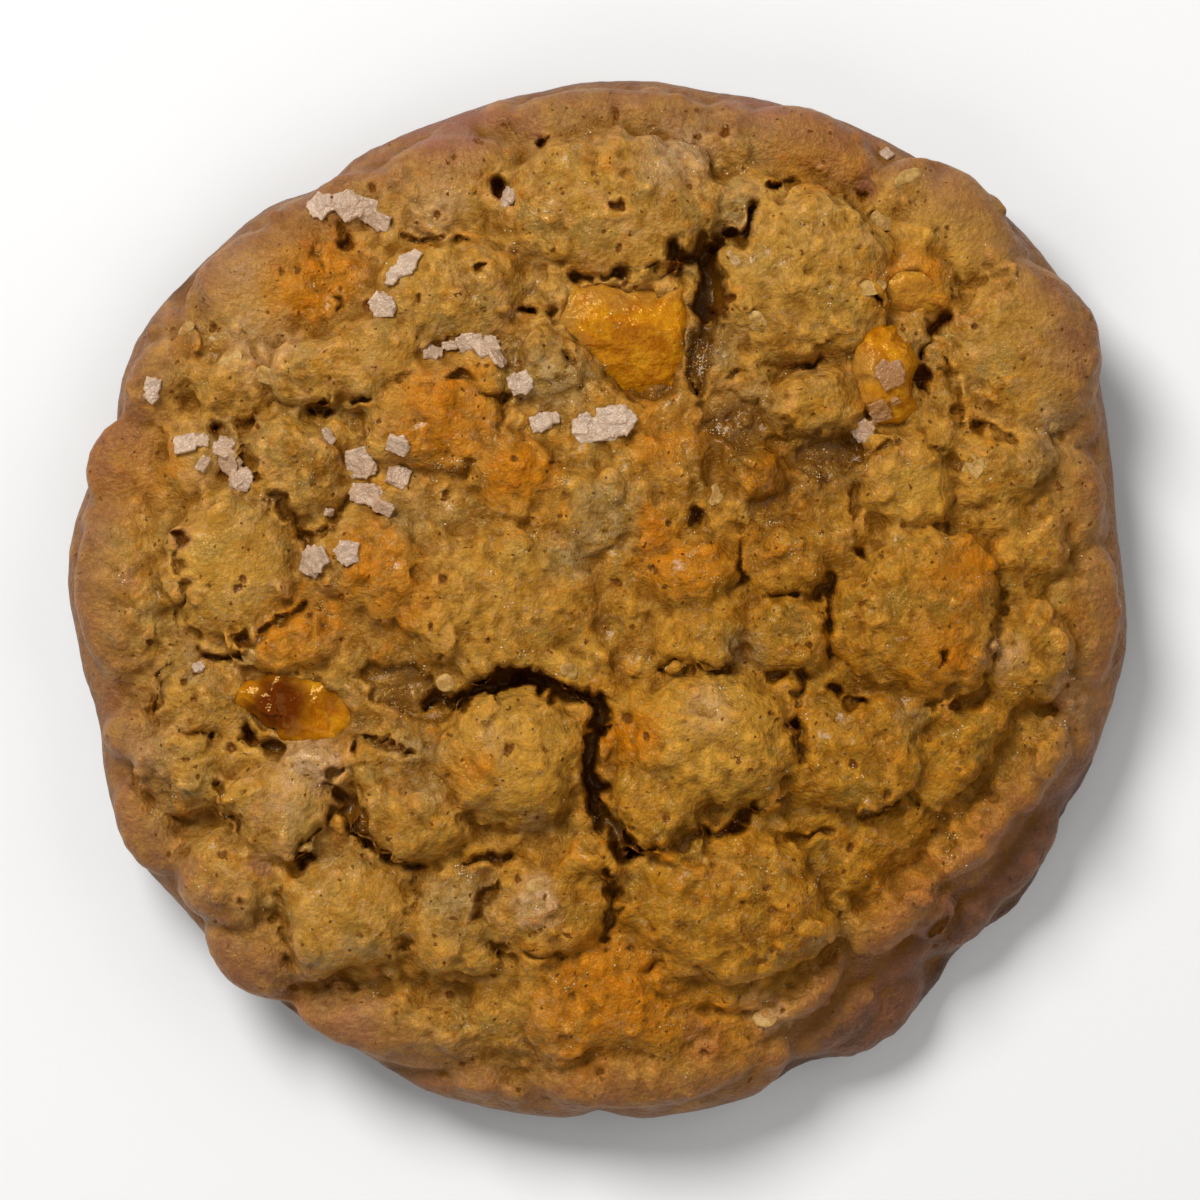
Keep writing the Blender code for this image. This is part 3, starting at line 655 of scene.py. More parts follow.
PITS = [
    (5.9, 26.2, 1.5, 1.8),
    (21.0, 3.6, 0.5, 1.2),
    (27.4, -4.4, 0.5, 1.0),
    (-7.6, 32.6, 0.96, 2.4),
    (1.4, 31.4, 0.64, 1.6),
    (-5.4, 22.8, 0.8, 2.2),
    (-33.4, 5.4, 0.8, 1.6),
    (-30.4, 13.0, 0.8, 1.8),
    (-28.4, -3.0, 0.8, 2.0),
    (-31.0, -4.6, 0.64, 1.8),
    (-28.0, -10.8, 0.88, 2.4),
    (-19.2, -11.8, 0.64, 1.2),
    (-23.6, -20.6, 0.72, 2.2),
    (18.6, -7.0, 0.72, 1.6),
    (15.6, -9.8, 0.72, 1.8),
    (10.8, -17.8, 0.88, 2.2),
    (26.8, 22.0, 0.72, 2.0),
    (25.8, 17.4, 0.72, 2.2),
    (30.4, 13.4, 0.64, 1.4),
    (7.6, 6.5, 0.64, 1.6),
    (-20.4, 28.8, 0.64, 1.6),
    (-9.6, 25.8, 0.56, 1.2),
    (-4.5, 36.8, 0.72, 1.4),
    (8.8, 22.8, 0.64, 4.6),
    (7.3, 17.2, 0.48, 4.2),
    (9.2, 28.0, 0.64, 4.4),
    (-6.6, -5.9, 0.64, 4.4),
    (2.3, -19.8, 0.64, 4.4),
]


# %% How deep they are at a place
def line_distance(points, line):
    """Distance in plan from each point to a line of straight runs."""
    nearest = np.full(len(points), np.inf)
    for start, end in zip(line[:-1], line[1:]):
        start = np.array(start)
        run = np.array(end) - start
        share = np.clip((points - start) @ run / (run @ run), 0, 1)
        away = np.linalg.norm(points - start - share[:, None] * run, axis=1)
        nearest = np.minimum(nearest, away)
    return nearest


def plan_noise(x, y, grain, level):
    """Noise at a place in plan. Every pattern is cut at a level of its own, so that no two match."""
    return noise.noise(Vector((x / grain, y / grain, level)))


def ragged(plan):
    for amount, grain in FRAYS:
        plan = frayed(plan, amount, grain)
    return plan


def pit_depth(plan):
    sink = np.zeros(len(plan))
    for x, y, radius, depth in PITS:
        away = np.hypot(plan[:, 0] - x, plan[:, 1] - y)
        sink = np.maximum(sink, depth * soft_step(PIT_WALL - away / (PIT_SLOPE * radius)))
    return sink


def valley_depth(plan):
    sink = np.zeros(len(plan))
    for depth, half_width, line in VALLEYS:
        inside = (half_width + VALLEY_WALL - line_distance(plan, line)) / VALLEY_WALL
        sink = np.maximum(sink, depth * soft_step(inside))
    return sink


def gap_depth(plan):
    """How deep the gaps and pits are at each point of the plan. A narrow gap closes up here and there."""
    sink = pit_depth(plan)
    open_noise = np.array([plan_noise(x, y, CLOSE_GRAIN, CLOSE_SLICE) for x, y in plan.tolist()])
    open_share = soft_step(OPEN_MEAN + OPEN_GAIN * open_noise)
    for depth, half_width, line in GAPS:
        inside = (half_width + GAP_WALL - line_distance(plan, line)) / (GAP_SLOPE * GAP_WALL)
        if half_width < NARROW:
            inside = inside * open_share
        sink = np.maximum(sink, depth * soft_step(inside))
    return sink


print(len(GAPS), "gaps,", len(VALLEYS), "valleys and", len(PITS), "pits")

# %% [markdown]
# ## Pockets for the chips
#
# Each chip sank into the dough while it baked and lies in a pocket a little smaller than itself, so that
# dough laps up to its sides. A chip is a rounded block: its middle, its size, its turn and a power that says
# how square it is. The middle chip's near left corner is cut off, and its pocket follows that cut.

# %% Chips and their pockets
CHIPS = {
    "chip_centre": ((1.7, 20.2, 9.9), (10.8, 9.8, 7.6), -6, 3.4),
    "chip_right": ((22.5, 17.9, 11.0), (5.2, 8.0, 6.4), 4, 2.5),
    "chip_melted": ((-23.8, -8.6, 10.5), (10.4, 5.8, 5.4), -8, 2.4),
    "chip_upper_right": ((24.6, 24.8, 9.6), (6.6, 5.0, 5.4), 12, 2.3),
}
CUT_SLANT = 1.15
CUT_START = 0.80
CUT_SLOPE = 0.6
POCKET_ROOM = {
    "chip_centre": -0.1,
    "chip_right": -0.4,
    "chip_melted": -0.45,
    "chip_upper_right": -1.0,
}
POCKET_DEPTH = 2.0
POCKET_WALL = 0.6


def chip_distance(plan, chip):
    """Roughly how far outside a chip's outline each point of the plan lies."""
    centre, size, turn, power = CHIPS[chip]
    cos_turn, sin_turn = cos_and_sin(turn)
    x, y = plan[:, 0] - centre[0], plan[:, 1] - centre[1]
    along = (x * cos_turn + y * sin_turn) / (0.5 * size[0])
    across = (y * cos_turn - x * sin_turn) / (0.5 * size[1])
    away = (np.abs(along) ** power + np.abs(across) ** power) ** (1 / power) - 1
    if chip == "chip_centre":
        away = np.maximum(away, CUT_SLOPE * (-CUT_SLANT * along - across - CUT_START))
    return away * 0.5 * min(size[:2])


def pocket_depth(plan):
    sink = np.zeros(len(plan))
    for chip, room in POCKET_ROOM.items():
        inside = (room - chip_distance(plan, chip)) / POCKET_WALL
        sink = np.maximum(sink, POCKET_DEPTH * soft_step(inside))
    return sink


# %% [markdown]
# ## The crust's edge
#
# At the lower right the upper crust ends early, and the dough under it shows as a rough ledge, browner and
# darkened in the material with painted shade. The crust's edge is a line of angles with a distance from the
# middle at each, and what lies past it is let down.

# %% Where the crust ends
CRUST_EDGE = [
    (-74, 44.0),
    (-68, 40.7),
    (-64, 39.8),
    (-55, 37.7),
    (-49, 36.7),
    (-43, 36.9),
    (-35, 37.7),
    (-30, 38.4),
    (-26, 38.5),
    (-16, 41.3),
    (-11, 44.0),
]
FAR_OUT = 60.0


def past_crust(plan):
    """How far past the upper crust's near right edge each point lies. Negative on the crust."""
    angles = np.degrees(np.arctan2(plan[:, 1], plan[:, 0]))
    edge = np.interp(angles, *zip(*CRUST_EDGE), left=FAR_OUT, right=FAR_OUT)
    return np.hypot(plan[:, 0], plan[:, 1]) - edge


# %% [markdown]
# ## Deeper creases
#
# Creases deepen as lumps swell. A crease lies under the skin's own smoothed shape, so each point is set
# against the mean of its neighbours, and whatever is lower is pushed further down. The pockets and valleys
# are pressed in after that, and the ledge is let down.

# %% Helpers that read the skin
def neighbour_mean(obj, values, rounds):
    """Each point's value spread over its neighbours a number of times."""
    ends = np.empty(2 * len(obj.data.edges), int)
    obj.data.edges.foreach_get("vertices", ends)
    first, second = ends.reshape(-1, 2).T
    count = np.bincount(first, minlength=len(values)) + np.bincount(second, minlength=len(values))
    for _round in range(rounds):
        total = np.zeros_like(values)
        for column in range(values.shape[1]):
            total[:, column] = np.bincount(first, values[second, column], len(values))
            total[:, column] += np.bincount(second, values[first, column], len(values))
        values = 0.5 * values + 0.5 * total / count[:, None]
    return values


def hollow(obj, rounds):
    """How far each point lies under the smoothed skin, in millimetres; ridges are below zero."""
    places = corner_places(obj)
    smooth = neighbour_mean(obj, places, rounds)
    return ((smooth - places) * corner_normals(obj)).sum(axis=1)


# %% Deepen the creases and press in the pockets
CREASE_ROUNDS = 24
CREASE_GAIN = 0.85
CREASE_START = 0.05
FINE_FRAY = (0.3, 0.9)
LEDGE_FRAY = (0.5, 2.0)
LEDGE_WALL = 0.9
LEDGE_DROP = 3.4
LEDGE_FLOOR = 7.0
LEDGE_STARTS = 8.0


def upper_side(obj):
    """1 on faces that look up from the crown, 0 on its side and below."""
    return np.clip(corner_normals(obj)[:, 2] * 2, 0, 1) * (corner_places(obj)[:, 2] > CROWN_WIDEST)


places = corner_places(dough)
creases = np.maximum(hollow(dough, CREASE_ROUNDS) - CREASE_START, 0)
places[:, 2] -= CREASE_GAIN * creases * upper_side(dough)
move_corners(dough, places)
pressed = np.maximum(pocket_depth(frayed(places[:, :2], *FINE_FRAY)), valley_depth(places[:, :2]))
places[:, 2] -= pressed * upper_side(dough)
past = soft_step(past_crust(frayed(places[:, :2], *LEDGE_FRAY)) / LEDGE_WALL)
over = past * (places[:, 2] > LEDGE_STARTS)
places[:, 2] -= over * np.minimum(LEDGE_DROP, places[:, 2] - LEDGE_FLOOR)
move_corners(dough, places)
print("deepest crease in mm:", round(float(hollow(dough, CREASE_ROUNDS).max()), 1))

# %% [markdown]
# ## Crumb
#
# Oats, broken oats and clots of dough cover the lumps, their sides and the edges of the gaps, and their thin
# edges make the surface ragged. Places are drawn evenly over the skin's area, so that the steep sides get
# their share, and each piece lies on the skin, turned and leaned a little. Where the dough's own skin
# closed over smoothly there are few.

# %% Where the skin is smooth
RIM_SMOOTH_START = 1.2
RIM_SMOOTH_WIDTH = 4.0
SMOOTH_CORE = 1.6
SMOOTH_PLACES = [
    (25.0, -1.6, 5.0),
    (-25.6, -16.0, 4.8),
    (-29.0, 25.0, 7.5),
    (29.5, 31.0, 6.5),
    (34.0, 20.5, 5.5),
    (-20.0, -26.0, 6.5),
    (-36.5, 9.0, 6.0),
    (-30.0, 3.0, 7.0),
    (-8.0, 34.5, 7.0),
    (-19.0, 19.0, 5.0),
    (-29.0, -28.0, 4.5),
    (2.0, 28.5, 5.0),
    (24.5, 9.0, 3.5),
]


def smoothness(plan):
    """1 in the middle of a smooth place, nearly 1 at the rim and 0 elsewhere."""
    most = soft_step(1 - (edge_distance(plan) - RIM_SMOOTH_START) / RIM_SMOOTH_WIDTH)
    for x, y, radius in SMOOTH_PLACES:
        away = np.hypot(plan[:, 0] - x, plan[:, 1] - y) / radius
        most = np.maximum(most, np.clip(SMOOTH_CORE * (1 - away), 0, 1))
    return most


# %% Helpers that scatter
LEAST_UP = -0.3
SPARED_WHERE_SMOOTH = 0.92


def surface_spots(obj, count, seed, lowest=7.0):
    """Seeded places on a surface, in millimetres, and the ways it faces there.

    Faces are put in order of place first, because a remesh may number them differently each time.
    """
    faces = obj.data.polygons
    areas = np.empty(len(faces))
    middles = np.empty(3 * len(faces))
    ways = np.empty(3 * len(faces))
    faces.foreach_get("area", areas)
    faces.foreach_get("center", middles)
    faces.foreach_get("normal", ways)
    middles = middles.reshape(-1, 3) / MM
    ways = ways.reshape(-1, 3)
    taken = (middles[:, 2] > lowest) * (ways[:, 2] > LEAST_UP)
    areas *= taken * (1 - SPARED_WHERE_SMOOTH * smoothness(middles[:, :2]))
    order = np.lexsort(np.round(middles, 3).T)
    areas = areas[order]
    chosen = order[np.random.default_rng(seed).choice(len(faces), count, p=areas / areas.sum())]
    return middles[chosen], ways[chosen]


def laid_on(way, turn, lean):
    """Turns a flat thing to lie on a surface that faces this way, turned and leaned by degrees."""
    lay = Vector((0, 0, 1)).rotation_difference(Vector(way)).to_matrix()
    return lay @ Matrix.Rotation(math.radians(turn), 3, "Z") @ Matrix.Rotation(math.radians(lean), 3, "X")


def copies(pattern, frames, name):
    """One mesh of many copies of a pattern, each with a turn-and-stretch and a place in millimetres."""
    corners = corner_places(pattern) * MM
    faces = np.array([list(face.vertices) for face in pattern.data.polygons])
    all_corners = [corners @ np.array(shape).T + np.array(place) for shape, place in frames]
    all_faces = [faces + i * len(corners) for i in range(len(frames))]
    mesh = bpy.data.meshes.new(name)
    mesh.from_pydata(np.concatenate(all_corners) * MM, [], np.concatenate(all_faces))
    obj = bpy.data.objects.new(name, mesh)
    bpy.context.scene.collection.objects.link(obj)
    return obj


# %% Scatter the crumb and wrap again
FINE_VOXEL = 0.25
CRUMB_WIDTHS = (0.55, 0.95)


def crumb_frames(count, sizes, flatness, lift, lean, seed):
    draw = random.Random(seed)
    frames = []
    for place, way in zip(*surface_spots(dough, count, seed)):
        size = draw.uniform(*sizes)
        stretch = Matrix.Diagonal((size, size * draw.uniform(*CRUMB_WIDTHS), size * flatness))
        shape = laid_on(way, draw.uniform(0, 360), draw.uniform(-lean, lean)) @ stretch
        frames.append((shape, place + way * draw.uniform(*lift)))
    return frames


bpy.ops.mesh.primitive_ico_sphere_add(subdivisions=2, radius=1.0)
crumb_pattern = bpy.context.object
flake_frames = crumb_frames(
    count=1100, sizes=(0.6, 1.5), flatness=0.24, lift=(-0.15, 0.15), lean=20, seed=SEED + 3
)
clot_frames = crumb_frames(
    count=900, sizes=(0.35, 0.75), flatness=0.8, lift=(-0.3, 0.05), lean=40, seed=SEED + 4
)
flakes = copies(crumb_pattern, flake_frames, "flakes")
clots = copies(crumb_pattern, clot_frames, "clots")
pick(dough, flakes, clots)
bpy.ops.object.join()
for pattern in (large_lump, small_lump, crumb_pattern):
    bpy.data.objects.remove(pattern)
wrap(dough, FINE_VOXEL)
places = corner_places(dough)
gaps = gap_depth(ragged(places[:, :2])) * upper_side(dough)
places[:, 2] -= gaps
move_corners(dough, places)
print("fine skin:", triangle_count(dough), "triangles, deepest gap in mm:", round(float(gaps.max()), 1))

# %% [markdown]
# ## The skin's own texture
#
# Crumb is rough at every size. Displace modifiers add it from the largest to the smallest: soft swells, then
# rounded clots from a cell pattern, then a fine crumple. A vertex group holds how rough each place is: less
# where the skin is smooth, on the low side and deep in the gaps, and not at all on the underside.

# %% Roughness group and displacement
ROUGH_STEPS = 20
CALM_SMOOTH = 0.6
CALM_SIDE = 0.8
SIDE_TOP = 9.0
SIDE_FADE = 4.0
CALM_GAP = 0.6
DEEP_GAP = 1.6
LEDGE_WAKES = 0.5
UNDERSIDE = 0.5


def rough_group(obj):
    group = obj.vertex_groups.new(name="rough")
    places = corner_places(obj)
    side = soft_step((SIDE_TOP - places[:, 2]) / SIDE_FADE)
    deep_gap = soft_step(gap_depth(ragged(places[:, :2])) - DEEP_GAP)
    calm = np.maximum(CALM_SMOOTH * smoothness(places[:, :2]), side * CALM_SIDE)
    calm = np.maximum(calm, CALM_GAP * deep_gap)
    calm *= 1 - LEDGE_WAKES * soft_step(past_crust(places[:, :2]))
    level = (1 - calm) * np.clip(places[:, 2] - UNDERSIDE, 0, 1)
    level = np.round(ROUGH_STEPS * level).astype(int)
    for step in range(ROUGH_STEPS + 1):
        group.add(np.flatnonzero(level == step).tolist(), step / ROUGH_STEPS, "REPLACE")


def displace(obj, name, grain, height, basis="BLENDER_ORIGINAL", depth=2, group=""):
    """Roughens a piece with noise of one grain, in millimetres, everywhere or by a vertex group."""
    texture = bpy.data.textures.new(name, "CLOUDS")
    texture.noise_scale = grain * MM
    texture.noise_basis = basis
    texture.noise_depth = depth
    modifier = obj.modifiers.new(name, "DISPLACE")
    modifier.texture = texture
    modifier.texture_coords = "LOCAL"
    modifier.mid_level = 0.5
    modifier.strength = height * MM
    modifier.vertex_group = group


rough_group(dough)
displace(dough, "swell", 3.0, 1.0, basis="ORIGINAL_PERLIN", group="rough")
displace(dough, "clot", 1.7, -0.24, basis="VORONOI_F1", depth=1, group="rough")
displace(dough, "crumple", 0.8, 0.50, basis="ORIGINAL_PERLIN", group="rough")
apply_modifiers(dough)

# %% [markdown]
# ## Pores
#
# Steam left small dark pores, few of them round and no two alike. A seeded rule places them, most of them
# small, and noise tears their outlines.

# %% Pores
PORE_COUNT = 420
PORE_SIZES = (0.13, 0.38)
PORE_RARITY = 5
PORE_WIDTHS = (0.4, 1.0)
PORE_MARGIN = 2.5
PORE_SHIFT = 2.2
PORE_DEPTH = 1.3
PORE_SLOPE = 0.6
PORE_FRAY = (0.28, 0.45)


def pore_places():
    draw = random.Random(SEED + 6)
    found = []
    low, high = PORE_SIZES
    for spot_x, spot_y in spiral(PORE_COUNT, COOKIE_RADIUS - PORE_MARGIN):
        x = spot_x + draw.uniform(-PORE_SHIFT, PORE_SHIFT)
        y = spot_y + draw.uniform(-PORE_SHIFT, PORE_SHIFT)
        radius = low + (high - low) * draw.random() ** PORE_RARITY
        found.append((x, y, radius, draw.uniform(*PORE_WIDTHS), draw.uniform(0, math.pi)))
    return found


PORES = pore_places()


def pore_mask(plan):
    """1 in the middle of a pore, 0 outside, and the depth there in millimetres."""
    mask = np.zeros(len(plan))
    deep = np.zeros(len(plan))
    for x, y, radius, narrow, turn in PORES:
        near = (np.abs(plan[:, 0] - x) < 2 * radius) & (np.abs(plan[:, 1] - y) < 2 * radius)
        near = np.flatnonzero(near)
        to_x, to_y = plan[near, 0] - x, plan[near, 1] - y
        along = to_x * math.cos(turn) + to_y * math.sin(turn)
        across = (to_y * math.cos(turn) - to_x * math.sin(turn)) / narrow
        share = soft_step(1.3 - np.hypot(along, across) / (1.3 * radius))
        mask[near] = np.maximum(mask[near], share)
        deep[near] = np.maximum(deep[near], share * math.sqrt(radius) * PORE_DEPTH * PORE_SLOPE)
    return mask, deep


def pore_plan(places):
    return frayed(places[:, :2], *PORE_FRAY)


places = corner_places(dough)
_mask, deep = pore_mask(pore_plan(places))
places -= corner_normals(dough) * (deep * (places[:, 2] > CROWN_WIDEST))[:, None]
places[:, 2] = np.maximum(places[:, 2], 0.0)
move_corners(dough, places)
print(len(PORES), "pores")

# %% [markdown]
# ## Thin the mesh
#
# The underside is flat and needs few faces. The decimate modifier takes them from where the skin is
# flattest first, so the crumb keeps its detail, and one light smoothing settles what it leaves.

# %% Decimate
MOST_TRIANGLES = 188000
SETTLE = 0.4
thin = dough.modifiers.new("thin", "DECIMATE")
thin.ratio = MOST_TRIANGLES / triangle_count(dough)
settle = dough.modifiers.new("settle", "SMOOTH")
settle.factor = SETTLE
settle.iterations = 1
apply_modifiers(dough)
print("dough:", triangle_count(dough), "triangles")

# %% [markdown]
# ## Paint the masks
#
# The colour changes for reasons, and some of them are painted light and shade. The rim and the side are
# browner. The lower right is richer and darker, partly from butter that gathered there and partly as painted
# shade. Melted butterscotch stains the dough round each buried chip. The ledge and the foot are browner and
# darkened with painted shade. Hollows, pores and pits are darkened with painted shade, ridges get a painted
# highlight, and gaps are wet and darker the deeper they are, partly as painted shade. Smooth crowns are pale,
# some crumbs are greyish or pinkish, and purplish-brown patches, most of them near the rim, are painted
# shade.
# Each reason is a number stored on the points, and the material mixes its colours by them. A patch is x, y,
# radius and strength.

# %% Tables of patches
STAINS = [
    (-12.6, 14.6, 5.0, 0.9),
    (-6.4, 10.4, 3.6, 0.9),
    (-17.8, 3.0, 3.4, 0.8),
    (-16.0, -0.2, 3.0, 0.7),
    (-22.6, 25.8, 4.6, 0.8),
    (-37.6, 11.0, 4.8, 0.6),
    (24.6, 25.4, 3.6, 0.8),
    (20.2, 35.4, 3.2, 0.6),
    (0.6, -31.0, 5.6, 0.8),
    (-1.0, -36.0, 2.8, 0.8),
    (2.6, -11.0, 2.4, 0.9),
    (28.6, 2.2, 3.0, 0.7),
    (5.4, 3.2, 2.6, 0.8),
    (5.2, 13.6, 3.4, 0.6),
    (-24.4, -3.2, 3.6, 0.7),
    (13.2, 9.6, 2.4, 0.7),
    (27.0, -5.4, 3.4, 0.4),
    (24.0, -22.8, 4.0, 0.4),
    (31.0, -19.0, 4.0, 0.4),
    (-10.0, -13.4, 2.0, 0.7),
    (10.0, -34.4, 4.0, 0.5),
    (2.6, -32.0, 4.6, 0.8),
    (17.0, 36.0, 3.4, 0.5),
    (29.6, 3.0, 2.6, 0.9),
    (28.0, -3.6, 2.8, 0.6),
    (4.4, 5.6, 1.8, 0.9),
    (8.0, 2.6, 2.2, 0.8),
    (-21.2, -1.2, 1.8, 0.8),
    (26.0, -22.0, 3.2, 0.6),
    (5.4, 12.4, 2.2, 0.7),
]
WETS = [
    (10.4, 13.6, 3.4, 1.0),
    (17.6, 10.9, 3.0, 0.9),
    (13.8, 8.8, 2.2, 0.8),
    (8.6, 20.6, 2.4, 0.8),
    (-15.2, -7.0, 3.6, 0.8),
    (14.2, 6.4, 1.6, 0.5),
    (-19.4, -10.0, 1.6, 0.6),
    (-18.0, -17.6, 1.4, 0.5),
    (19.6, -7.2, 2.4, 0.5),
]
PALES = [
    (-7.0, -11.6, 5.4, 0.55),
    (9.0, -10.4, 6.4, 0.6),
    (-8.0, 0.0, 6.0, 0.25),
    (-30.0, 3.0, 5.0, 0.3),
    (-28.0, 24.0, 6.0, 0.3),
    (-2.0, -4.4, 2.4, 0.7),
    (16.0, 26.0, 6.0, 0.3),
    (25.0, 8.6, 3.6, 0.5),
    (-24.0, -4.8, 2.2, 0.6),
    (28.0, 30.0, 6.0, 0.6),
    (34.0, 24.0, 4.0, 0.3),
]
GREYS = [
    (-4.0, 17.6, 3.2, 0.8),
    (-12.2, 17.8, 1.6, 0.5),
    (9.0, 20.5, 2.4, 0.7),
    (12.4, 15.4, 2.2, 0.6),
    (17.5, 11.0, 3.0, 0.5),
    (11.3, 31.2, 1.8, 0.7),
    (0.6, 6.8, 3.0, 0.7),
    (-2.4, 3.6, 2.4, 0.6),
    (-15.6, 6.4, 2.2, 0.5),
    (-30.6, 12.6, 2.0, 0.4),
    (-32.4, -5.3, 1.8, 0.7),
    (11.4, -4.0, 1.6, 0.8),
    (-15.0, -12.0, 2.0, 0.8),
    (-13.8, -14.8, 1.6, 0.7),
    (-11.4, -24.2, 3.0, 0.7),
    (-5.1, -17.8, 1.4, 0.6),
    (-21.4, -20.6, 1.4, 0.5),
    (35.0, 11.0, 2.4, 0.4),
    (24.6, -9.4, 1.6, 0.5),
]
PINKS = [
    (6.0, 35.4, 3.2, 0.7),
    (-13.2, 31.6, 2.4, 0.6),
    (-27.0, 20.6, 3.4, 0.6),
    (8.6, -8.6, 2.0, 0.5),
    (-4.9, -23.8, 2.0, 0.8),
    (-22.8, -12.8, 3.0, 0.9),
    (-25.6, -16.0, 2.0, 0.5),
    (13.2, -33.2, 2.0, 0.7),
    (-8.4, -11.0, 1.6, 0.4),
    (38.2, -7.8, 2.2, 0.6),
    (32.2, -4.8, 1.8, 0.5),
    (36.0, 13.8, 1.6, 0.6),
    (-36.0, -12.0, 2.2, 0.4),
    (-29.0, 26.6, 3.0, 0.6),
]
# Purplish-brown painted shade, most of it near the rim.
PURPLE_SHADES = [
    (-27.0, -21.2, 0.9, 0.7),
    (21.9, 36.7, 1.1, 0.8),
    (21.0, 33.0, 1.1, 0.8),
    (8.2, -34.8, 1.6, 0.4),
    (-19.4, -33.6, 2.2, 0.5),
    (-12.0, 38.6, 5.0, 0.9),
    (-19.0, 36.0, 3.0, 0.5),
    (12.6, 40.4, 2.8, 0.8),
    (-33.4, 5.4, 1.2, 0.6),
    (-37.6, 1.8, 1.2, 0.4),
    (-5.6, 37.8, 1.0, 0.6),
    (-38.6, -8.0, 1.6, 0.4),
]

# %% Store what the material needs
PATCH_REACH = 1.35
PATCH_CORE = 1.25
RIM_WIDTH = 7.0
LOW_TOP = 8.0
LOW_FADE = 5.0
FOOT_TOP = 5.0
FOOT_EXTRA = 2.2
FOOT_FADE = 2.6
LEDGE_FADE = 0.6
BUTTER_AND_SHADE_MIDDLE = (17.0, -15.0)
BUTTER_AND_SHADE_REACH = 38.0
BUTTER_AND_SHADE_CORE = 1.25
WET_AND_SHADE_GAP = 1.8
WET_AND_SHADE_POCKET = 0.8
PIT_SHADE_DEPTH = 1.6
PIT_START = 0.35
FINE_ROUNDS, FINE_RANGE = 6, 0.5
WIDE_ROUNDS, WIDE_RANGE = 60, 2.6


def patches(plan, table):
    """Soft round patches with the strength that each has in the table, and 0 elsewhere."""
    mask = np.zeros(len(plan))
    for x, y, radius, strength in table:
        away = np.hypot(plan[:, 0] - x, plan[:, 1] - y) / (PATCH_REACH * radius)
        mask = np.maximum(mask, strength * soft_step(PATCH_CORE * (1 - away)))
    return mask


def paint(obj, name, values):
    layer = obj.data.attributes.new(name, "FLOAT", "POINT")
    layer.data.foreach_set("value", np.clip(values, 0, 1).astype(np.float32))


def paint_dough(obj):
    """Stores the masks that follow from where a point is on the cookie."""
    places = corner_places(obj)
    plan = ragged(places[:, :2])
    top = places[:, 2] > CROWN_WIDEST
    # Richer and darker towards the lower right: partly butter that gathered there, partly painted shade.
    butter_and_shade_x, butter_and_shade_y = BUTTER_AND_SHADE_MIDDLE
    butter_and_shade = BUTTER_AND_SHADE_CORE - np.hypot(places[:, 0] - butter_and_shade_x, places[:, 1] - butter_and_shade_y) / BUTTER_AND_SHADE_REACH
    paint(obj, "butter_and_shade", soft_step(butter_and_shade))
    rim = soft_step(1 - edge_distance(places[:, :2]) / RIM_WIDTH)
    low = soft_step((LOW_TOP - places[:, 2]) / LOW_FADE)
    paint(obj, "rim", np.maximum(rim, low))
    # The bare ledge and the low foot are browner from baking and darkened with painted shade.
    ledge = soft_step(0.5 + past_crust(plan) / LEDGE_FADE)
    paint(obj, "ledge", ledge)
    foot_top = FOOT_TOP + FOOT_EXTRA * (1 - ledge)
    paint(obj, "foot", soft_step((foot_top - places[:, 2]) / FOOT_FADE))
    tables = [("stain", STAINS), ("pale", PALES), ("grey", GREYS), ("pink", PINKS), ("purple_shade", PURPLE_SHADES)]
    for name, table in tables:
        paint(obj, name, patches(plan, table))
    # Wet dough in the gaps and pockets, darker the deeper it lies: real wetness and painted shade.
    wet_and_shade = np.maximum(gap_depth(plan) / WET_AND_SHADE_GAP, WET_AND_SHADE_POCKET * pocket_depth(plan) / POCKET_DEPTH)
    paint(obj, "wet_and_shade", np.maximum(wet_and_shade, patches(plan, WETS)) * top)
    # Painted shade in the pores and pits.
    pore_and_pit_shade = np.maximum(pore_mask(pore_plan(places))[0], pit_depth(plan) / PIT_SHADE_DEPTH - PIT_START)
    paint(obj, "pore_shade", pore_and_pit_shade * top)


paint_dough(dough)
# The material paints shade into the hollows and highlights onto the ridges from these two masks.
paint(dough, "fine_hollow", 0.5 + hollow(dough, FINE_ROUNDS) / FINE_RANGE)
paint(dough, "wide_hollow", 0.5 + hollow(dough, WIDE_ROUNDS) / WIDE_RANGE)
print("masks on the dough:", [layer.name for layer in dough.data.attributes if layer.data_type == "FLOAT"])

# %% [markdown]
# ## Shader tools
#
# Materials are built from nodes. A few short helpers keep that readable, and the grain that dough, chips,
# salt and oats share is a node group, built once, with its size as an input.

# %% Node helpers
def add_node(tree, kind, **values):
    """A node with some inputs or settings given: sockets by name, settings by attribute."""
    made = tree.nodes.new(kind)
    for name, value in values.items():
        if name in made.inputs:
            made.inputs[name].default_value = value
        else:
            setattr(made, name, value)
    return made


def feed(tree, value, socket):
    """Links a socket to another, or sets it to a plain value."""
    if isinstance(value, bpy.types.NodeSocket):
        tree.links.new(value, socket)
    else:
        socket.default_value = value


def millimetres(tree):
    """Object coordinates in millimetres."""
    place = add_node(tree, "ShaderNodeTexCoord")
    scale = add_node(tree, "ShaderNodeVectorMath", operation="SCALE")
    scale.inputs["Scale"].default_value = 1 / MM
    tree.links.new(place.outputs["Object"], scale.inputs[0])
    return scale.outputs[0]


def noise_value(tree, vector, per_mm, detail=2.0, rough=0.55, distortion=0.0):
    made = add_node(tree, "ShaderNodeTexNoise", Detail=detail, Roughness=rough, Distortion=distortion)
    tree.links.new(vector, made.inputs["Vector"])
    feed(tree, per_mm, made.inputs["Scale"])
    return made.outputs["Fac"]


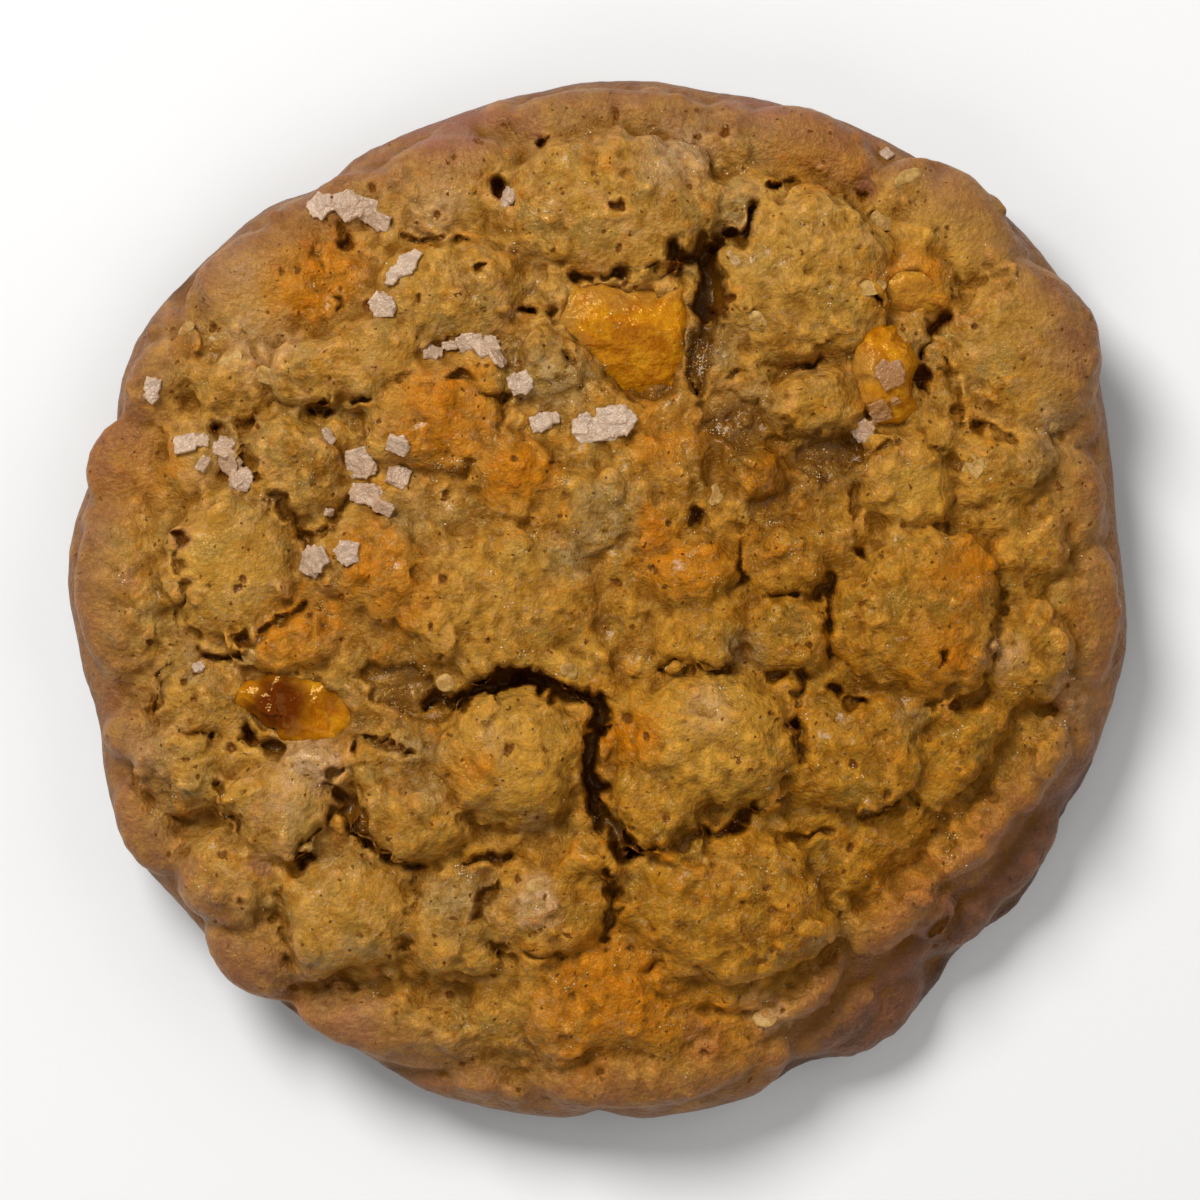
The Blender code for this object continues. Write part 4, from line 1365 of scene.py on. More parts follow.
def spread(tree, value, low, high, to_low=0.0, to_high=1.0):
    """Maps a value from low..high to another range, held inside it."""
    made = add_node(tree, "ShaderNodeMapRange", clamp=True)
    for name, limit in (("From Min", low), ("From Max", high), ("To Min", to_low), ("To Max", to_high)):
        made.inputs[name].default_value = limit
    tree.links.new(value, made.inputs["Value"])
    return made.outputs["Result"]


def blend(tree, share, first, second, kind="MIX"):
    """Mixes two colours, each a socket or a plain colour, by a share.

    Blender's Mix node keeps a socket for each kind of value, and the colours are inputs 6 and 7 and output 2.
    """
    made = add_node(tree, "ShaderNodeMix", data_type="RGBA", blend_type=kind)
    for value, socket in ((share, made.inputs[0]), (first, made.inputs[6]), (second, made.inputs[7])):
        feed(tree, value, socket)
    return made.outputs[2]


def maths(tree, kind, first, second):
    made = add_node(tree, "ShaderNodeMath", operation=kind)
    feed(tree, first, made.inputs[0])
    feed(tree, second, made.inputs[1])
    return made.outputs[0]


def times(tree, first, second):
    return maths(tree, "MULTIPLY", first, second)


def times_colour(tree, colour, factor):
    """The colour made darker or brighter by a factor."""
    made = add_node(tree, "ShaderNodeVectorMath", operation="SCALE")
    made.inputs["Scale"].default_value = factor
    tree.links.new(colour, made.inputs[0])
    return made.outputs[0]


def blotches(tree, place, per_mm, low, high, detail=3.0, rough=0.6, distortion=0.0):
    """Noise stretched into patches: 0 where it is under low, 1 where it is over high."""
    return spread(tree, noise_value(tree, place, per_mm, detail, rough, distortion), low, high)


def stored(tree, name):
    return add_node(tree, "ShaderNodeAttribute", attribute_name=name).outputs["Fac"]


def uneven(tree, mask, least, pattern, more):
    """A stored mask that is weaker or stronger by a pattern."""
    return times(tree, stored(tree, mask), maths(tree, "ADD", least, times(tree, pattern, more)))


def fading(tree, value, full, mask, loss):
    """A value that fades where a stored mask is strong."""
    return times(tree, value, maths(tree, "SUBTRACT", full, times(tree, stored(tree, mask), loss)))


def new_material(name, roughness, specular=0.5):
    """A material with its shader, ready for colour and bump, and the shader itself."""
    material = bpy.data.materials.new(name)
    material.use_nodes = True
    shader = material.node_tree.nodes["Principled BSDF"]
    shader.inputs["Roughness"].default_value = roughness
    shader.inputs["Specular IOR Level"].default_value = specular
    return material, material.node_tree, shader


def scatter_light(shader, weight, radius, millimetres_deep):
    """Lets light a little way into the piece, red furthest."""
    shader.inputs["Subsurface Weight"].default_value = weight
    shader.inputs["Subsurface Radius"].default_value = radius
    shader.inputs["Subsurface Scale"].default_value = millimetres_deep * MM


def bump(tree, shader, height, millimetres_high):
    made = add_node(tree, "ShaderNodeBump", Strength=1.0, Distance=millimetres_high * MM)
    tree.links.new(height, made.inputs["Height"])
    tree.links.new(made.outputs["Normal"], shader.inputs["Normal"])


# %% The grain group
def build_grain_group():
    tree = bpy.data.node_groups.new("baked_grain", "ShaderNodeTree")
    tree.interface.new_socket("Grains per mm", in_out="INPUT", socket_type="NodeSocketFloat")
    tree.interface.new_socket("Height", in_out="OUTPUT", socket_type="NodeSocketFloat")
    tree.interface.new_socket("Speckle", in_out="OUTPUT", socket_type="NodeSocketFloat")
    given = tree.nodes.new("NodeGroupInput")
    put_out = tree.nodes.new("NodeGroupOutput")
    place = millimetres(tree)
    height = noise_value(tree, place, given.outputs[0])
    finer = times(tree, given.outputs[0], 2.3)
    specks = blotches(tree, place, finer, low=0.36, high=0.64, rough=0.7)
    tree.links.new(height, put_out.inputs["Height"])
    tree.links.new(specks, put_out.inputs["Speckle"])
    return tree


GRAIN = build_grain_group()


def use_grain(tree, per_mm):
    made = tree.nodes.new("ShaderNodeGroup")
    made.node_tree = GRAIN
    made.inputs[0].default_value = per_mm
    return made.outputs["Height"], made.outputs["Speckle"]


# %% [markdown]
# ## The dough's material
#
# Baked oat dough is golden tan and matt except where butter or sugar glistens. The base is a mottle of two
# tans with drifts of paler, greyer, pinker and more orange crumb in it, richer and darker towards the lower
# right, partly from butter and partly as painted shade. The masks then stain it, brown the rim, brown the
# ledge and the foot and darken them with painted shade, paint highlights on ridges and shade into hollows,
# and wet the gaps, darker with painted shade the deeper they are. Torn little pores, finer than the mesh can
# show, are cut by a threshold on noise and painted dark as shade.

# %% The dough's colours
PALE_TAN = (0.49, 0.26, 0.052, 1.0)
GOLDEN_TAN = (0.345, 0.161, 0.018, 1.0)
OCHRE = (0.222, 0.084, 0.0055, 1.0)
OLIVE_GREY = (0.24, 0.144, 0.032, 1.0)
PINK_TAN = (0.5, 0.255, 0.085, 1.0)
ORANGE_TAN = (0.432, 0.152, 0.007, 1.0)
BUTTERY_AND_SHADE = (0.92, 0.79, 0.31, 1.0)
PALE_PATCH = (0.49, 0.252, 0.032, 1.0)
CRYSTAL_GREY = (0.15, 0.088, 0.02, 1.0)
CRYSTAL_PALE = (0.34, 0.225, 0.095, 1.0)
PINK_CRUMB = (0.48, 0.29, 0.15, 1.0)
STAIN_ORANGE = (0.415, 0.118, 0.0008, 1.0)
STAIN_YELLOW = (0.435, 0.16, 0.0012, 1.0)
RIM_BROWN = (0.18, 0.068, 0.036, 1.0)
PURPLE_SHADE_BROWN = (0.24, 0.088, 0.055, 1.0)
LEDGE_BROWN_AND_SHADE = (0.1, 0.045, 0.029, 1.0)
FOOT_BROWN_AND_SHADE = (0.05, 0.021, 0.018, 1.0)
HOLLOW_SHADE_BROWN = (0.165, 0.054, 0.002, 1.0)
WET_AND_SHADE_BROWN = (0.12, 0.04, 0.002, 1.0)
PORE_SHADE_BROWN = (0.15, 0.042, 0.004, 1.0)
GOLDEN_SHEEN = (1.0, 0.66, 0.2, 1.0)

# %% [markdown]
# Each drift in the dough is a colour, its strength and the noise that shapes it: grains per mm, low and
# high limits, detail, roughness and distortion.

# %% Dough material
DRIFTS = [
    (PALE_TAN, 0.75, (0.7, 0.42, 0.62, 4.0, 0.68, 0.3)),
    (OLIVE_GREY, 0.65, (0.36, 0.49, 0.63, 4.0, 0.65, 0.6)),
    (PINK_TAN, 0.45, (0.45, 0.53, 0.64, 4.0, 0.65, 0.5)),
    (ORANGE_TAN, 0.5, (0.31, 0.55, 0.66, 4.0, 0.68, 1.0)),
]


def patch_colour(tree, colour, patchy, crystal):
    """Lays the stored patches over the dough's colour, the palest first."""
    colour = blend(tree, stored(tree, "pale"), colour, PALE_PATCH)
    crystals = blend(tree, crystal, CRYSTAL_GREY, CRYSTAL_PALE)
    stains = blend(tree, times(tree, crystal, 0.6), STAIN_ORANGE, STAIN_YELLOW)
    colour = blend(tree, uneven(tree, "grey", 0.65, crystal, 0.35), colour, crystals)
    colour = blend(tree, uneven(tree, "pink", 0.35, crystal, 0.65), colour, PINK_CRUMB)
    colour = blend(tree, uneven(tree, "stain", 0.65, patchy, 0.5), colour, stains)
    colour = blend(tree, uneven(tree, "rim", 0.45, patchy, 0.45), colour, RIM_BROWN)
    # Purplish-brown painted shade, most of it near the rim.
    colour = blend(tree, uneven(tree, "purple_shade", 0.5, patchy, 0.5), colour, PURPLE_SHADE_BROWN)
    # The ledge and the foot: browner from baking and darkened with painted shade.
    ledge_brown_and_shade = blend(tree, patchy, LEDGE_BROWN_AND_SHADE, RIM_BROWN)
    colour = blend(tree, stored(tree, "ledge"), colour, ledge_brown_and_shade)
    foot_brown_and_shade = blend(tree, times(tree, patchy, 0.6), FOOT_BROWN_AND_SHADE, LEDGE_BROWN_AND_SHADE)
    return blend(tree, stored(tree, "foot"), colour, foot_brown_and_shade)


def relief_light_and_flecks(tree, colour, place, speckle):
    """Paints highlights on ridges, adds pale flecks and paints shade on what lies low."""
    # Painted highlight on the ridges.
    ridge_highlight = spread(tree, stored(tree, "fine_hollow"), low=0.48, high=0.25)
    colour = blend(tree, times(tree, ridge_highlight, 0.5), colour, times_colour(tree, colour, 1.45))
    flecks = blotches(tree, place, per_mm=2.1, low=0.62, high=0.68, detail=2.0, rough=0.5)
    flecks = fading(tree, flecks, 0.35, "rim", 0.25)
    flecks = fading(tree, flecks, 1.0, "foot", 1.0)
    colour = blend(tree, flecks, colour, PINK_CRUMB)
    colour = blend(tree, speckle, times_colour(tree, colour, 0.90), times_colour(tree, colour, 1.11))
    # Painted shade in fine creases and in wide hollows.
    crease_shade = spread(tree, stored(tree, "fine_hollow"), low=0.52, high=0.76)
    colour = blend(tree, times(tree, crease_shade, 0.8), colour, HOLLOW_SHADE_BROWN)
    hollow_shade = spread(tree, stored(tree, "wide_hollow"), low=0.50, high=0.85)
    return blend(tree, times(tree, hollow_shade, 0.75), colour, HOLLOW_SHADE_BROWN)


def dough_material():
    material, tree, shader = new_material("baked_dough", roughness=0.6, specular=0.38)
    shader.inputs["Specular Tint"].default_value = GOLDEN_SHEEN
    place = millimetres(tree)
    height, speckle = use_grain(tree, per_mm=2.4)
    mottle = blotches(tree, place, per_mm=0.24, low=0.38, high=0.62, rough=0.62, distortion=0.4)
    patchy = blotches(tree, place, per_mm=0.5, low=0.34, high=0.62, detail=4.0, rough=0.62)
    crystal = blotches(tree, place, per_mm=1.3, low=0.40, high=0.60, rough=0.65)
    colour = blend(tree, mottle, GOLDEN_TAN, OCHRE)
    for tint, strength, shape in DRIFTS:
        colour = blend(tree, times(tree, blotches(tree, place, *shape), strength), colour, tint)
    # Richer and darker towards the lower right: partly butter, partly painted shade.
    colour = blend(tree, stored(tree, "butter_and_shade"), colour, BUTTERY_AND_SHADE, "MULTIPLY")
    colour = patch_colour(tree, colour, patchy, crystal)
    colour = relief_light_and_flecks(tree, colour, place, speckle)
    # Wet dough, darker in deep gaps and pockets: real wetness and painted shade.
    colour = blend(tree, uneven(tree, "wet_and_shade", 0.70, crystal, 0.28), colour, WET_AND_SHADE_BROWN)
    clustered = blotches(tree, place, per_mm=0.18, low=0.40, high=0.60, detail=2.0, rough=0.5)
    # Tiny torn pores cut from noise, and the stored pores and pits, painted dark as shade.
    torn = noise_value(tree, place, per_mm=1.6, detail=1.0, rough=0.5)
    torn = maths(tree, "SUBTRACT", torn, times(tree, clustered, 0.035))
    tiny = spread(tree, torn, low=0.255, high=0.225)
    hole_shade = maths(tree, "MAXIMUM", spread(tree, stored(tree, "pore_shade"), low=0.15, high=0.60), tiny)
    colour = blend(tree, hole_shade, colour, PORE_SHADE_BROWN)
    tree.links.new(colour, shader.inputs["Base Color"])

    glint = blotches(tree, place, per_mm=0.35, low=0.50, high=0.64)
    glint = fading(tree, glint, 0.85, "rim", 0.6)
    damp = maths(tree, "MAXIMUM", stored(tree, "wet_and_shade"), glint)
    roughness = spread(tree, damp, low=0.0, high=1.0, to_low=0.45, to_high=0.18)
    coat = spread(tree, damp, low=0.45, high=1.0, to_low=0.0, to_high=0.30)
    tree.links.new(roughness, shader.inputs["Roughness"])
    tree.links.new(coat, shader.inputs["Coat Weight"])
    shader.inputs["Coat Roughness"].default_value = 0.16
    pitted = maths(tree, "SUBTRACT", height, times(tree, tiny, 0.6))
    bump(tree, shader, pitted, millimetres_high=0.26)
    scatter_light(shader, weight=0.42, radius=(1.0, 0.35, 0.08), millimetres_deep=0.8)
    return material


def finish_piece(obj, material, node=""):
    """Gives a piece its material and smooth shading and hands it to the frame."""
    obj.data.materials.clear()
    obj.data.materials.append(material)
    pick(obj)
    bpy.ops.object.shade_smooth()
    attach(obj, "root")
    if node:
        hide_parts(node)


finish_piece(dough, dough_material(), "cookie_dough")

# %% [markdown]
# ## The chips
#
# A butterscotch chip starts as a small block with a rounded back. Baking left the middle one standing with
# a slanted front, softened the right two and melted the left one into a glossy pool. Each is a cube, cut
# fine, rounded by one rule and pressed into its own form by a function. Inside such a function u, v and w
# run from -1 to 1 across the block, to the right, away and up, and a profile is a row of places and the
# height or width at each. Noise then frays the outline and roughens the faces, with no fine bumps on the
# pool.

# %% How each chip is pressed
CENTRE_TOP = ([-1, -0.6, -0.1, 0.35, 0.5, 0.85, 1.0], [0.10, 0.40, 0.74, 1.0, 0.90, 0.86, 0.80])
RIGHT_CUT_START = 1.35
MELTED_WIDTH = ([-1, -0.1, 0.3, 1], [1.0, 1.0, 0.86, 0.80])
MELTED_TOP = ([-1, -0.3, 0.1, 0.4, 1], [1.05, 1.0, 0.80, 0.78, 0.70])
UPPER_TOP = ([-1, -0.3, 0.4, 1], [0.62, 0.85, 1.0, 0.95])


def hump(width, *away):
    """1 where all the distances are zero, and fading away from there."""
    return np.exp(-sum(distance**2 for distance in away) / width)


def press_centre(u, v, w):
    """A raised ridge near the far side, two horns, a slanted front and the near left side cut off."""
    w = np.where(w > 0, w * np.interp(v, *CENTRE_TOP), w)
    w += 0.42 * (w > 0) * hump(0.03, u - 0.80, v - 0.92)
    w += 0.20 * (w > 0) * hump(0.04, u + 0.88, v - 0.90)
    left = np.maximum(-CUT_SLANT * u - v - CUT_START, 0) / 2
    horns = hump(0.03, u - 0.85) + 0.6 * hump(0.03, u + 0.90)
    v = v + 0.22 * horns * (v > 0.5)
    right = np.maximum(u - v - RIGHT_CUT_START, 0) / 2
    return u + left - right, v + left + right, w


def press_right(u, v, w):
    """Upright, with a shallow pad on its near left side."""
    w = np.where(w > 0, w * (1 - 0.16 * np.clip(v, 0, 1) ** 2 - 0.10 * np.clip(-v, 0, 1)), w)
    w += 0.10 * (w > 0) * hump(0.10, u + 0.35, v + 0.05)
    return u, v, w


def press_melted(u, v, w):
    """A pool that is thick at the left and thins out to the right."""
    v = v * np.interp(u, *MELTED_WIDTH) + 0.14 * soft_step((u + 0.1) / 0.8)
    v = v - 0.22 * (v < 0) * hump(0.12, u - 0.55)
    return u, v, np.where(w > 0, w * np.interp(u, *MELTED_TOP), w)


def press_upper(u, v, w):
    """Half under the dough: it slopes down to its near side."""
    return u, v, np.where(w > 0, w * np.interp(v, *UPPER_TOP), w)


# %% Model the chips
CHIP_CUTS = 30


def make_chip(node, press, grain, height, depth, fray):
    centre, size, turn, power = CHIPS[node]
    bpy.ops.mesh.primitive_cube_add(size=2.0)
    chip = bpy.context.object
    chip.name = node.replace("chip", "butterscotch")
    bpy.ops.object.mode_set(mode="EDIT")
    bpy.ops.mesh.select_all(action="SELECT")
    bpy.ops.mesh.subdivide(number_cuts=CHIP_CUTS)
    bpy.ops.object.mode_set(mode="OBJECT")
    corners = corner_places(chip) * MM
    corners /= (np.abs(corners) ** power).sum(axis=1)[:, None] ** (1 / power)
    corners = np.array(press(*corners.T)).T * np.array(size) / 2
    cos_turn, sin_turn = cos_and_sin(turn)
    corners[:, :2] = corners[:, :2] @ np.array([[cos_turn, sin_turn], [-sin_turn, cos_turn]])
    corners[:, :2] = frayed(frayed(corners[:, :2], *fray), *FINE_FRAY)
    move_corners(chip, corners + np.array(centre))
    displace(chip, "rough", grain, height, depth=depth)
    apply_modifiers(chip)
    return chip


chips = {
    "chip_centre": make_chip("chip_centre", press_centre, 1.2, 0.60, depth=3, fray=(0.5, 2.2)),
    "chip_right": make_chip("chip_right", press_right, 1.6, 0.35, depth=3, fray=(0.5, 2.0)),
    "chip_melted": make_chip("chip_melted", press_melted, 1.8, 0.65, depth=1, fray=(1.4, 2.6)),
    "chip_upper_right": make_chip("chip_upper_right", press_upper, 2.2, 0.7, depth=3, fray=(0.6, 3.2)),
}
print("chips:", {node: triangle_count(chip) for node, chip in chips.items()})

# %% [markdown]
# ## Butterscotch
#
# Butterscotch is orange and lets light a little way in. Where it melted it is dark amber under a glassy
# skin, and where dough clings to it it is tan. The same amber darkens the middle chip's front a little, as
# painted shade. Both are stored on the points, as the dough's masks are, and so is how glossy each chip is.

# %% Chip masks
MASK_FRAY = (0.5, 0.9)
SPOT_SLOPE = 1.4
SPOT_REACH = 1.1
RIDGE_FILM = [(x, 24.2 + 0.05 * (x - 1.6) ** 2, 1.6, 0.55) for x in (-2.4, -0.4, 1.6, 3.6, 5.6)]
CHIP_AMBER_AND_SHADE = {
    # Painted shade on the middle chip's slanted front.
    "chip_centre": [(2.4, 16.6, 2.6, 0.16)],
    "chip_right": [],
    "chip_melted": [(-25.4, -8.2, 3.4, 1.0), (-21.6, -7.6, 1.6, 0.5)],
    "chip_upper_right": [],
}
CHIP_CRUST = {
    "chip_centre": [(-3.4, 22.8, 2.4, 0.9), (-2.2, 20.0, 1.6, 0.8)] + RIDGE_FILM,
    "chip_right": [(20.7, 18.4, 2.0, 0.8), (20.8, 15.6, 1.4, 0.6)],
    "chip_melted": [],
    "chip_upper_right": [(24.3, 25.0, 4.0, 0.5), (24.8, 27.2, 2.0, 0.7)],
}
CHIP_GLAZE = {"chip_centre": 0.62, "chip_right": 0.6, "chip_melted": 0.9, "chip_upper_right": 0.55}


def spots_mask(obj, spots):
    """Ragged round spots in plan, each with a place, a radius and a strength."""
    plan = frayed(corner_places(obj)[:, :2], *MASK_FRAY)
    mask = np.zeros(len(plan))
    for x, y, radius, strength in spots:
        away = np.hypot(plan[:, 0] - x, plan[:, 1] - y) / radius
        mask = np.maximum(mask, strength * soft_step(SPOT_SLOPE * (SPOT_REACH - away)))
    return mask


for node, chip in chips.items():
    paint(chip, "amber_and_shade", spots_mask(chip, CHIP_AMBER_AND_SHADE[node]))
    paint(chip, "crust", spots_mask(chip, CHIP_CRUST[node]))
    paint(chip, "glaze", np.full(len(chip.data.vertices), CHIP_GLAZE[node]))

# %% Butterscotch material
BUTTERSCOTCH = (0.5576, 0.221, 0.005, 1.0)
BRIGHT_BUTTERSCOTCH = (0.6, 0.27, 0.008, 1.0)
DEEP_BUTTERSCOTCH = (0.37, 0.105, 0.001, 1.0)
AMBER_AND_SHADE = (0.115, 0.018, 0.0002, 1.0)
CRUST_TAN = (0.4, 0.19, 0.03, 1.0)


def butterscotch_material():
    material, tree, shader = new_material("butterscotch", roughness=0.35, specular=0.40)
    shader.inputs["Specular Tint"].default_value = GOLDEN_SHEEN
    place = millimetres(tree)
    height, speckle = use_grain(tree, per_mm=2.0)
    patchy = blotches(tree, place, per_mm=0.5, low=0.36, high=0.62)
    colour = blend(tree, patchy, BUTTERSCOTCH, DEEP_BUTTERSCOTCH)
    bright = blotches(tree, place, per_mm=1.1, low=0.50, high=0.64, distortion=0.4)
    colour = blend(tree, times(tree, bright, 0.6), colour, BRIGHT_BUTTERSCOTCH)
    # Melted amber, and painted shade on the middle chip's front.
    colour = blend(tree, stored(tree, "amber_and_shade"), colour, AMBER_AND_SHADE)
    colour = blend(tree, stored(tree, "crust"), colour, CRUST_TAN)
    colour = blend(tree, speckle, times_colour(tree, colour, 0.88), times_colour(tree, colour, 1.14))
    tree.links.new(colour, shader.inputs["Base Color"])
    roughness = spread(tree, stored(tree, "glaze"), low=0.0, high=1.0, to_low=0.42, to_high=0.10)
    tree.links.new(roughness, shader.inputs["Roughness"])
    dry = spread(tree, stored(tree, "glaze"), low=0.3, high=0.95, to_low=1.0, to_high=0.25)
    bump(tree, shader, times(tree, height, dry), millimetres_high=0.30)
    scatter_light(shader, weight=0.35, radius=(1.6, 0.5, 0.05), millimetres_deep=1.0)
    return material


SCOTCH = butterscotch_material()
for node, chip in chips.items():
    finish_piece(chip, SCOTCH, node)

# %% [markdown]
# ## Salt
#
# Flakes of sea salt are thin, brittle plates with broken edges, and a flake is usually a few plates grown
# together. So each flake in the table is a handful of small plates, leaned and turned at random inside its
# outline, on whatever lies under it. A voxel remesh grows them together and noise frosts them. A flake is
# x, y, length, width and turn.

# %% Table of salt flakes
SALT = [
    (0.3, 13.9, 5.6, 3.4, 12),
    (-22.2, 31.4, 2.3, 2.0, 20),
    (-19.9, 31.5, 2.6, 3.0, 10),
    (-18.5, 31.0, 2.2, 2.0, 50),
    (-17.4, 30.2, 1.8, 2.0, 0),
    (-15.6, 26.3, 4.0, 1.4, 42),
    (-17.1, 23.4, 2.9, 2.1, 8),
    (-13.4, 19.5, 2.2, 1.1, 28),
    (-12.0, 20.2, 2.0, 1.0, 10),
    (-10.3, 20.4, 2.3, 1.5, -8),
    (-9.0, 20.0, 2.2, 2.2, 40),
    (-8.2, 19.1, 1.3, 1.9, 15),
    (-6.3, 17.2, 1.9, 1.8, 12),
    (-4.8, 14.0, 1.9, 1.7, 30),
    (-3.7, 14.4, 0.9, 0.7, 0),
    (-35.6, 16.9, 1.0, 2.8, -6),
    (-32.9, 12.4, 1.8, 1.6, 0),
    (-31.5, 12.7, 1.7, 1.2, 20),
    (-29.9, 12.1, 2.2, 2.0, 30),
    (-29.2, 10.7, 2.2, 2.6, 20),
    (-28.4, 9.5, 2.1, 1.9, 0),
    (-31.5, 10.9, 1.3, 1.1, 60),
    (-19.0, 10.8, 3.0, 3.0, 10),
    (-15.9, 12.3, 2.3, 1.8, -20),
    (-16.0, 9.8, 1.9, 1.5, 35),
    (-18.5, 8.4, 3.0, 1.9, -10),
    (-17.1, 7.4, 1.9, 1.3, 0),
    (-21.6, 12.9, 0.8, 2.0, 15),
    (-22.5, 3.0, 3.3, 3.0, 15),
    (-19.9, 3.8, 2.1, 2.0, -15),
    (-21.6, 7.0, 0.9, 0.8, 0),
    (-7.2, 32.0, 1.8, 2.1, 0),
    (22.9, 17.9, 2.4, 2.6, 8),
    (22.2, 15.1, 1.4, 2.4, 10),
    (20.9, 13.5, 2.3, 1.9, 35),
    (23.4, 15.8, 1.1, 0.4, 20),
    (-31.9, -5.4, 1.0, 1.1, 0),
    (22.9, 35.6, 1.0, 0.9, 0),
]

# %% [markdown]
# ## Laying things on the cookie
#
# Rays that are shot straight down find how high the cookie is in a ring round a flake's place. The slope of
# that ring is the flake's lean. It rests at the ring's mean height, or halfway up to the height under its
# own middle where that is higher.

# %% Helpers that lay things down
RAY_START = 40
REST_POINTS = 8


def tree_of(objects):
    """A search tree over several pieces together, in metres."""
    corners, faces = [], []
    for obj in objects:
        faces += [[index + len(corners) for index in face.vertices] for face in obj.data.polygons]
        corners += [vert.co.copy() for vert in obj.data.vertices]
    return BVHTree.FromPolygons(corners, faces)


COVER = tree_of([dough, *chips.values()])


def ground(x, y):
    """Height of what lies under a place in plan, in millimetres."""
    hit = COVER.ray_cast(Vector((x, y, RAY_START)) * MM, Vector((0, 0, -1)))[0]
    return hit.z / MM if hit else 0.0


def rest_on(x, y, reach):
    """Where a flat thing of that reach comes to rest: its middle, and the way it faces."""
    angles = np.linspace(0, 2 * math.pi, REST_POINTS + 1)[:-1]
    around = [(reach * math.cos(angle), reach * math.sin(angle)) for angle in angles]
    heights = [ground(x + dx, y + dy) for dx, dy in around]
    spread_of_points = REST_POINTS / 2 * reach * reach
    slope_x = sum(dx * height for (dx, _dy), height in zip(around, heights)) / spread_of_points
    slope_y = sum(dy * height for (_dx, dy), height in zip(around, heights)) / spread_of_points
    way = Vector((-slope_x, -slope_y, 1)).normalized()
    middle = 0.5 * sum(heights) / len(heights) + 0.5 * max(ground(x, y), sum(heights) / len(heights))
    return Vector((x, y, middle)), way


# %% Flakes
REST_SHARE = 0.35
LEAST_PLATES = 3
PLATES_PER_AREA = 2.0
PLATE_SIZES = (0.42, 0.95)
PLATE_WIDTHS = (0.5, 1.0)
PLATE_THICKNESS = 0.15
PLATE_RISE = (0.2, 1.6)
PLATE_TURN = 28
PLATE_TILT = 14
FIT_SHARE = 0.55
FIT_LEAST = 0.15
SALT_VOXEL = 0.11
FROST_GRAIN = 0.32
FROST_HEIGHT = 0.12


def make_salt():
    """Each flake is a handful of leaning plates inside its outline, wrapped in one skin and frosted."""
    bpy.ops.mesh.primitive_cube_add(size=2.0)
    plate = bpy.context.object
    draw = random.Random(SEED + 20)
    frames = []
    for x, y, length, width, turn in SALT:
        middle, way = rest_on(x, y, REST_SHARE * min(length, width))
        lay = laid_on(way, turn, 0.0)
        fits = min(1.0, FIT_SHARE * min(length, width) + FIT_LEAST)
        for _plate in range(max(LEAST_PLATES, round(PLATES_PER_AREA * length * width))):
            angle, share = draw.uniform(0, 2 * math.pi), math.sqrt(draw.random())
            half = draw.uniform(*PLATE_SIZES) * fits
            along = share * math.cos(angle) * max(0.5 * length - half, 0)
            across = share * math.sin(angle) * max(0.5 * width - half, 0)
            rise = PLATE_THICKNESS * draw.uniform(*PLATE_RISE)
            twist = Matrix.Rotation(math.radians(draw.gauss(0, PLATE_TURN)), 3, "Z")
            tip = twist @ Matrix.Rotation(math.radians(draw.uniform(-PLATE_TILT, PLATE_TILT)), 3, "X")
            stretch = Matrix.Diagonal((half, half * draw.uniform(*PLATE_WIDTHS), PLATE_THICKNESS))
            frames.append((lay @ tip @ stretch, middle + lay @ Vector((along, across, rise))))
    salt = copies(plate, frames, "salt_flakes")
    bpy.data.objects.remove(plate)
    wrap(salt, SALT_VOXEL)
    displace(salt, "frost", FROST_GRAIN, FROST_HEIGHT)
    apply_modifiers(salt)
    return salt


# %% [markdown]
# Salt is nearly clear, so it takes on the colour of what lies under it: a warm white with greyer and
# brighter plates on dough, and an orange glaze on butterscotch. GLAZED says where, and how strongly.

# %% Salt material
SALT_WHITE = (0.53, 0.355, 0.225, 1.0)
SALT_GREY = (0.34, 0.21, 0.125, 1.0)
SALT_BRIGHT = (0.7, 0.525, 0.375, 1.0)
SALT_GLAZED = (0.36, 0.155, 0.032, 1.0)
GLAZED = [
    (22.6, 16.6, 4.0, 1.0),
    (-18.0, 9.4, 3.0, 0.3),
    (-29.8, 11.0, 2.6, 0.3),
    (-19.6, 31.0, 2.4, 0.25),
]


def salt_material():
    material, tree, shader = new_material("salt", roughness=0.30, specular=0.6)
    place = millimetres(tree)
    height, speckle = use_grain(tree, per_mm=4.5)
    dim = blotches(tree, place, per_mm=0.8, low=0.40, high=0.62)
    colour = blend(tree, dim, SALT_WHITE, SALT_GREY)
    colour = blend(tree, times(tree, speckle, 0.5), colour, SALT_BRIGHT)
    colour = blend(tree, stored(tree, "glazed"), colour, SALT_GLAZED)
    tree.links.new(colour, shader.inputs["Base Color"])
    bump(tree, shader, height, millimetres_high=0.12)
    scatter_light(shader, weight=0.55, radius=(1.0, 0.8, 0.6), millimetres_deep=0.5)
    return material


salt = make_salt()
paint(salt, "glazed", patches(corner_places(salt)[:, :2], GLAZED))
finish_piece(salt, salt_material())
pick(salt)
bpy.ops.object.shade_flat()
print(len(SALT), "salt flakes,", triangle_count(salt), "triangles")

# %% [markdown]
# ## Moist sugar
#
# Where butter and sugar dried on the surface they left grains that catch the light. They are far too small
# to see one by one, but clusters of them make the crust glisten. The grains are pale, a painted glint that
# keeps them bright from every side. One grain is modelled and copied where two
# sizes of noise and the table of glistening places together pass a threshold, and none lie on the ledge. A
# glistening place is x, y and radius.

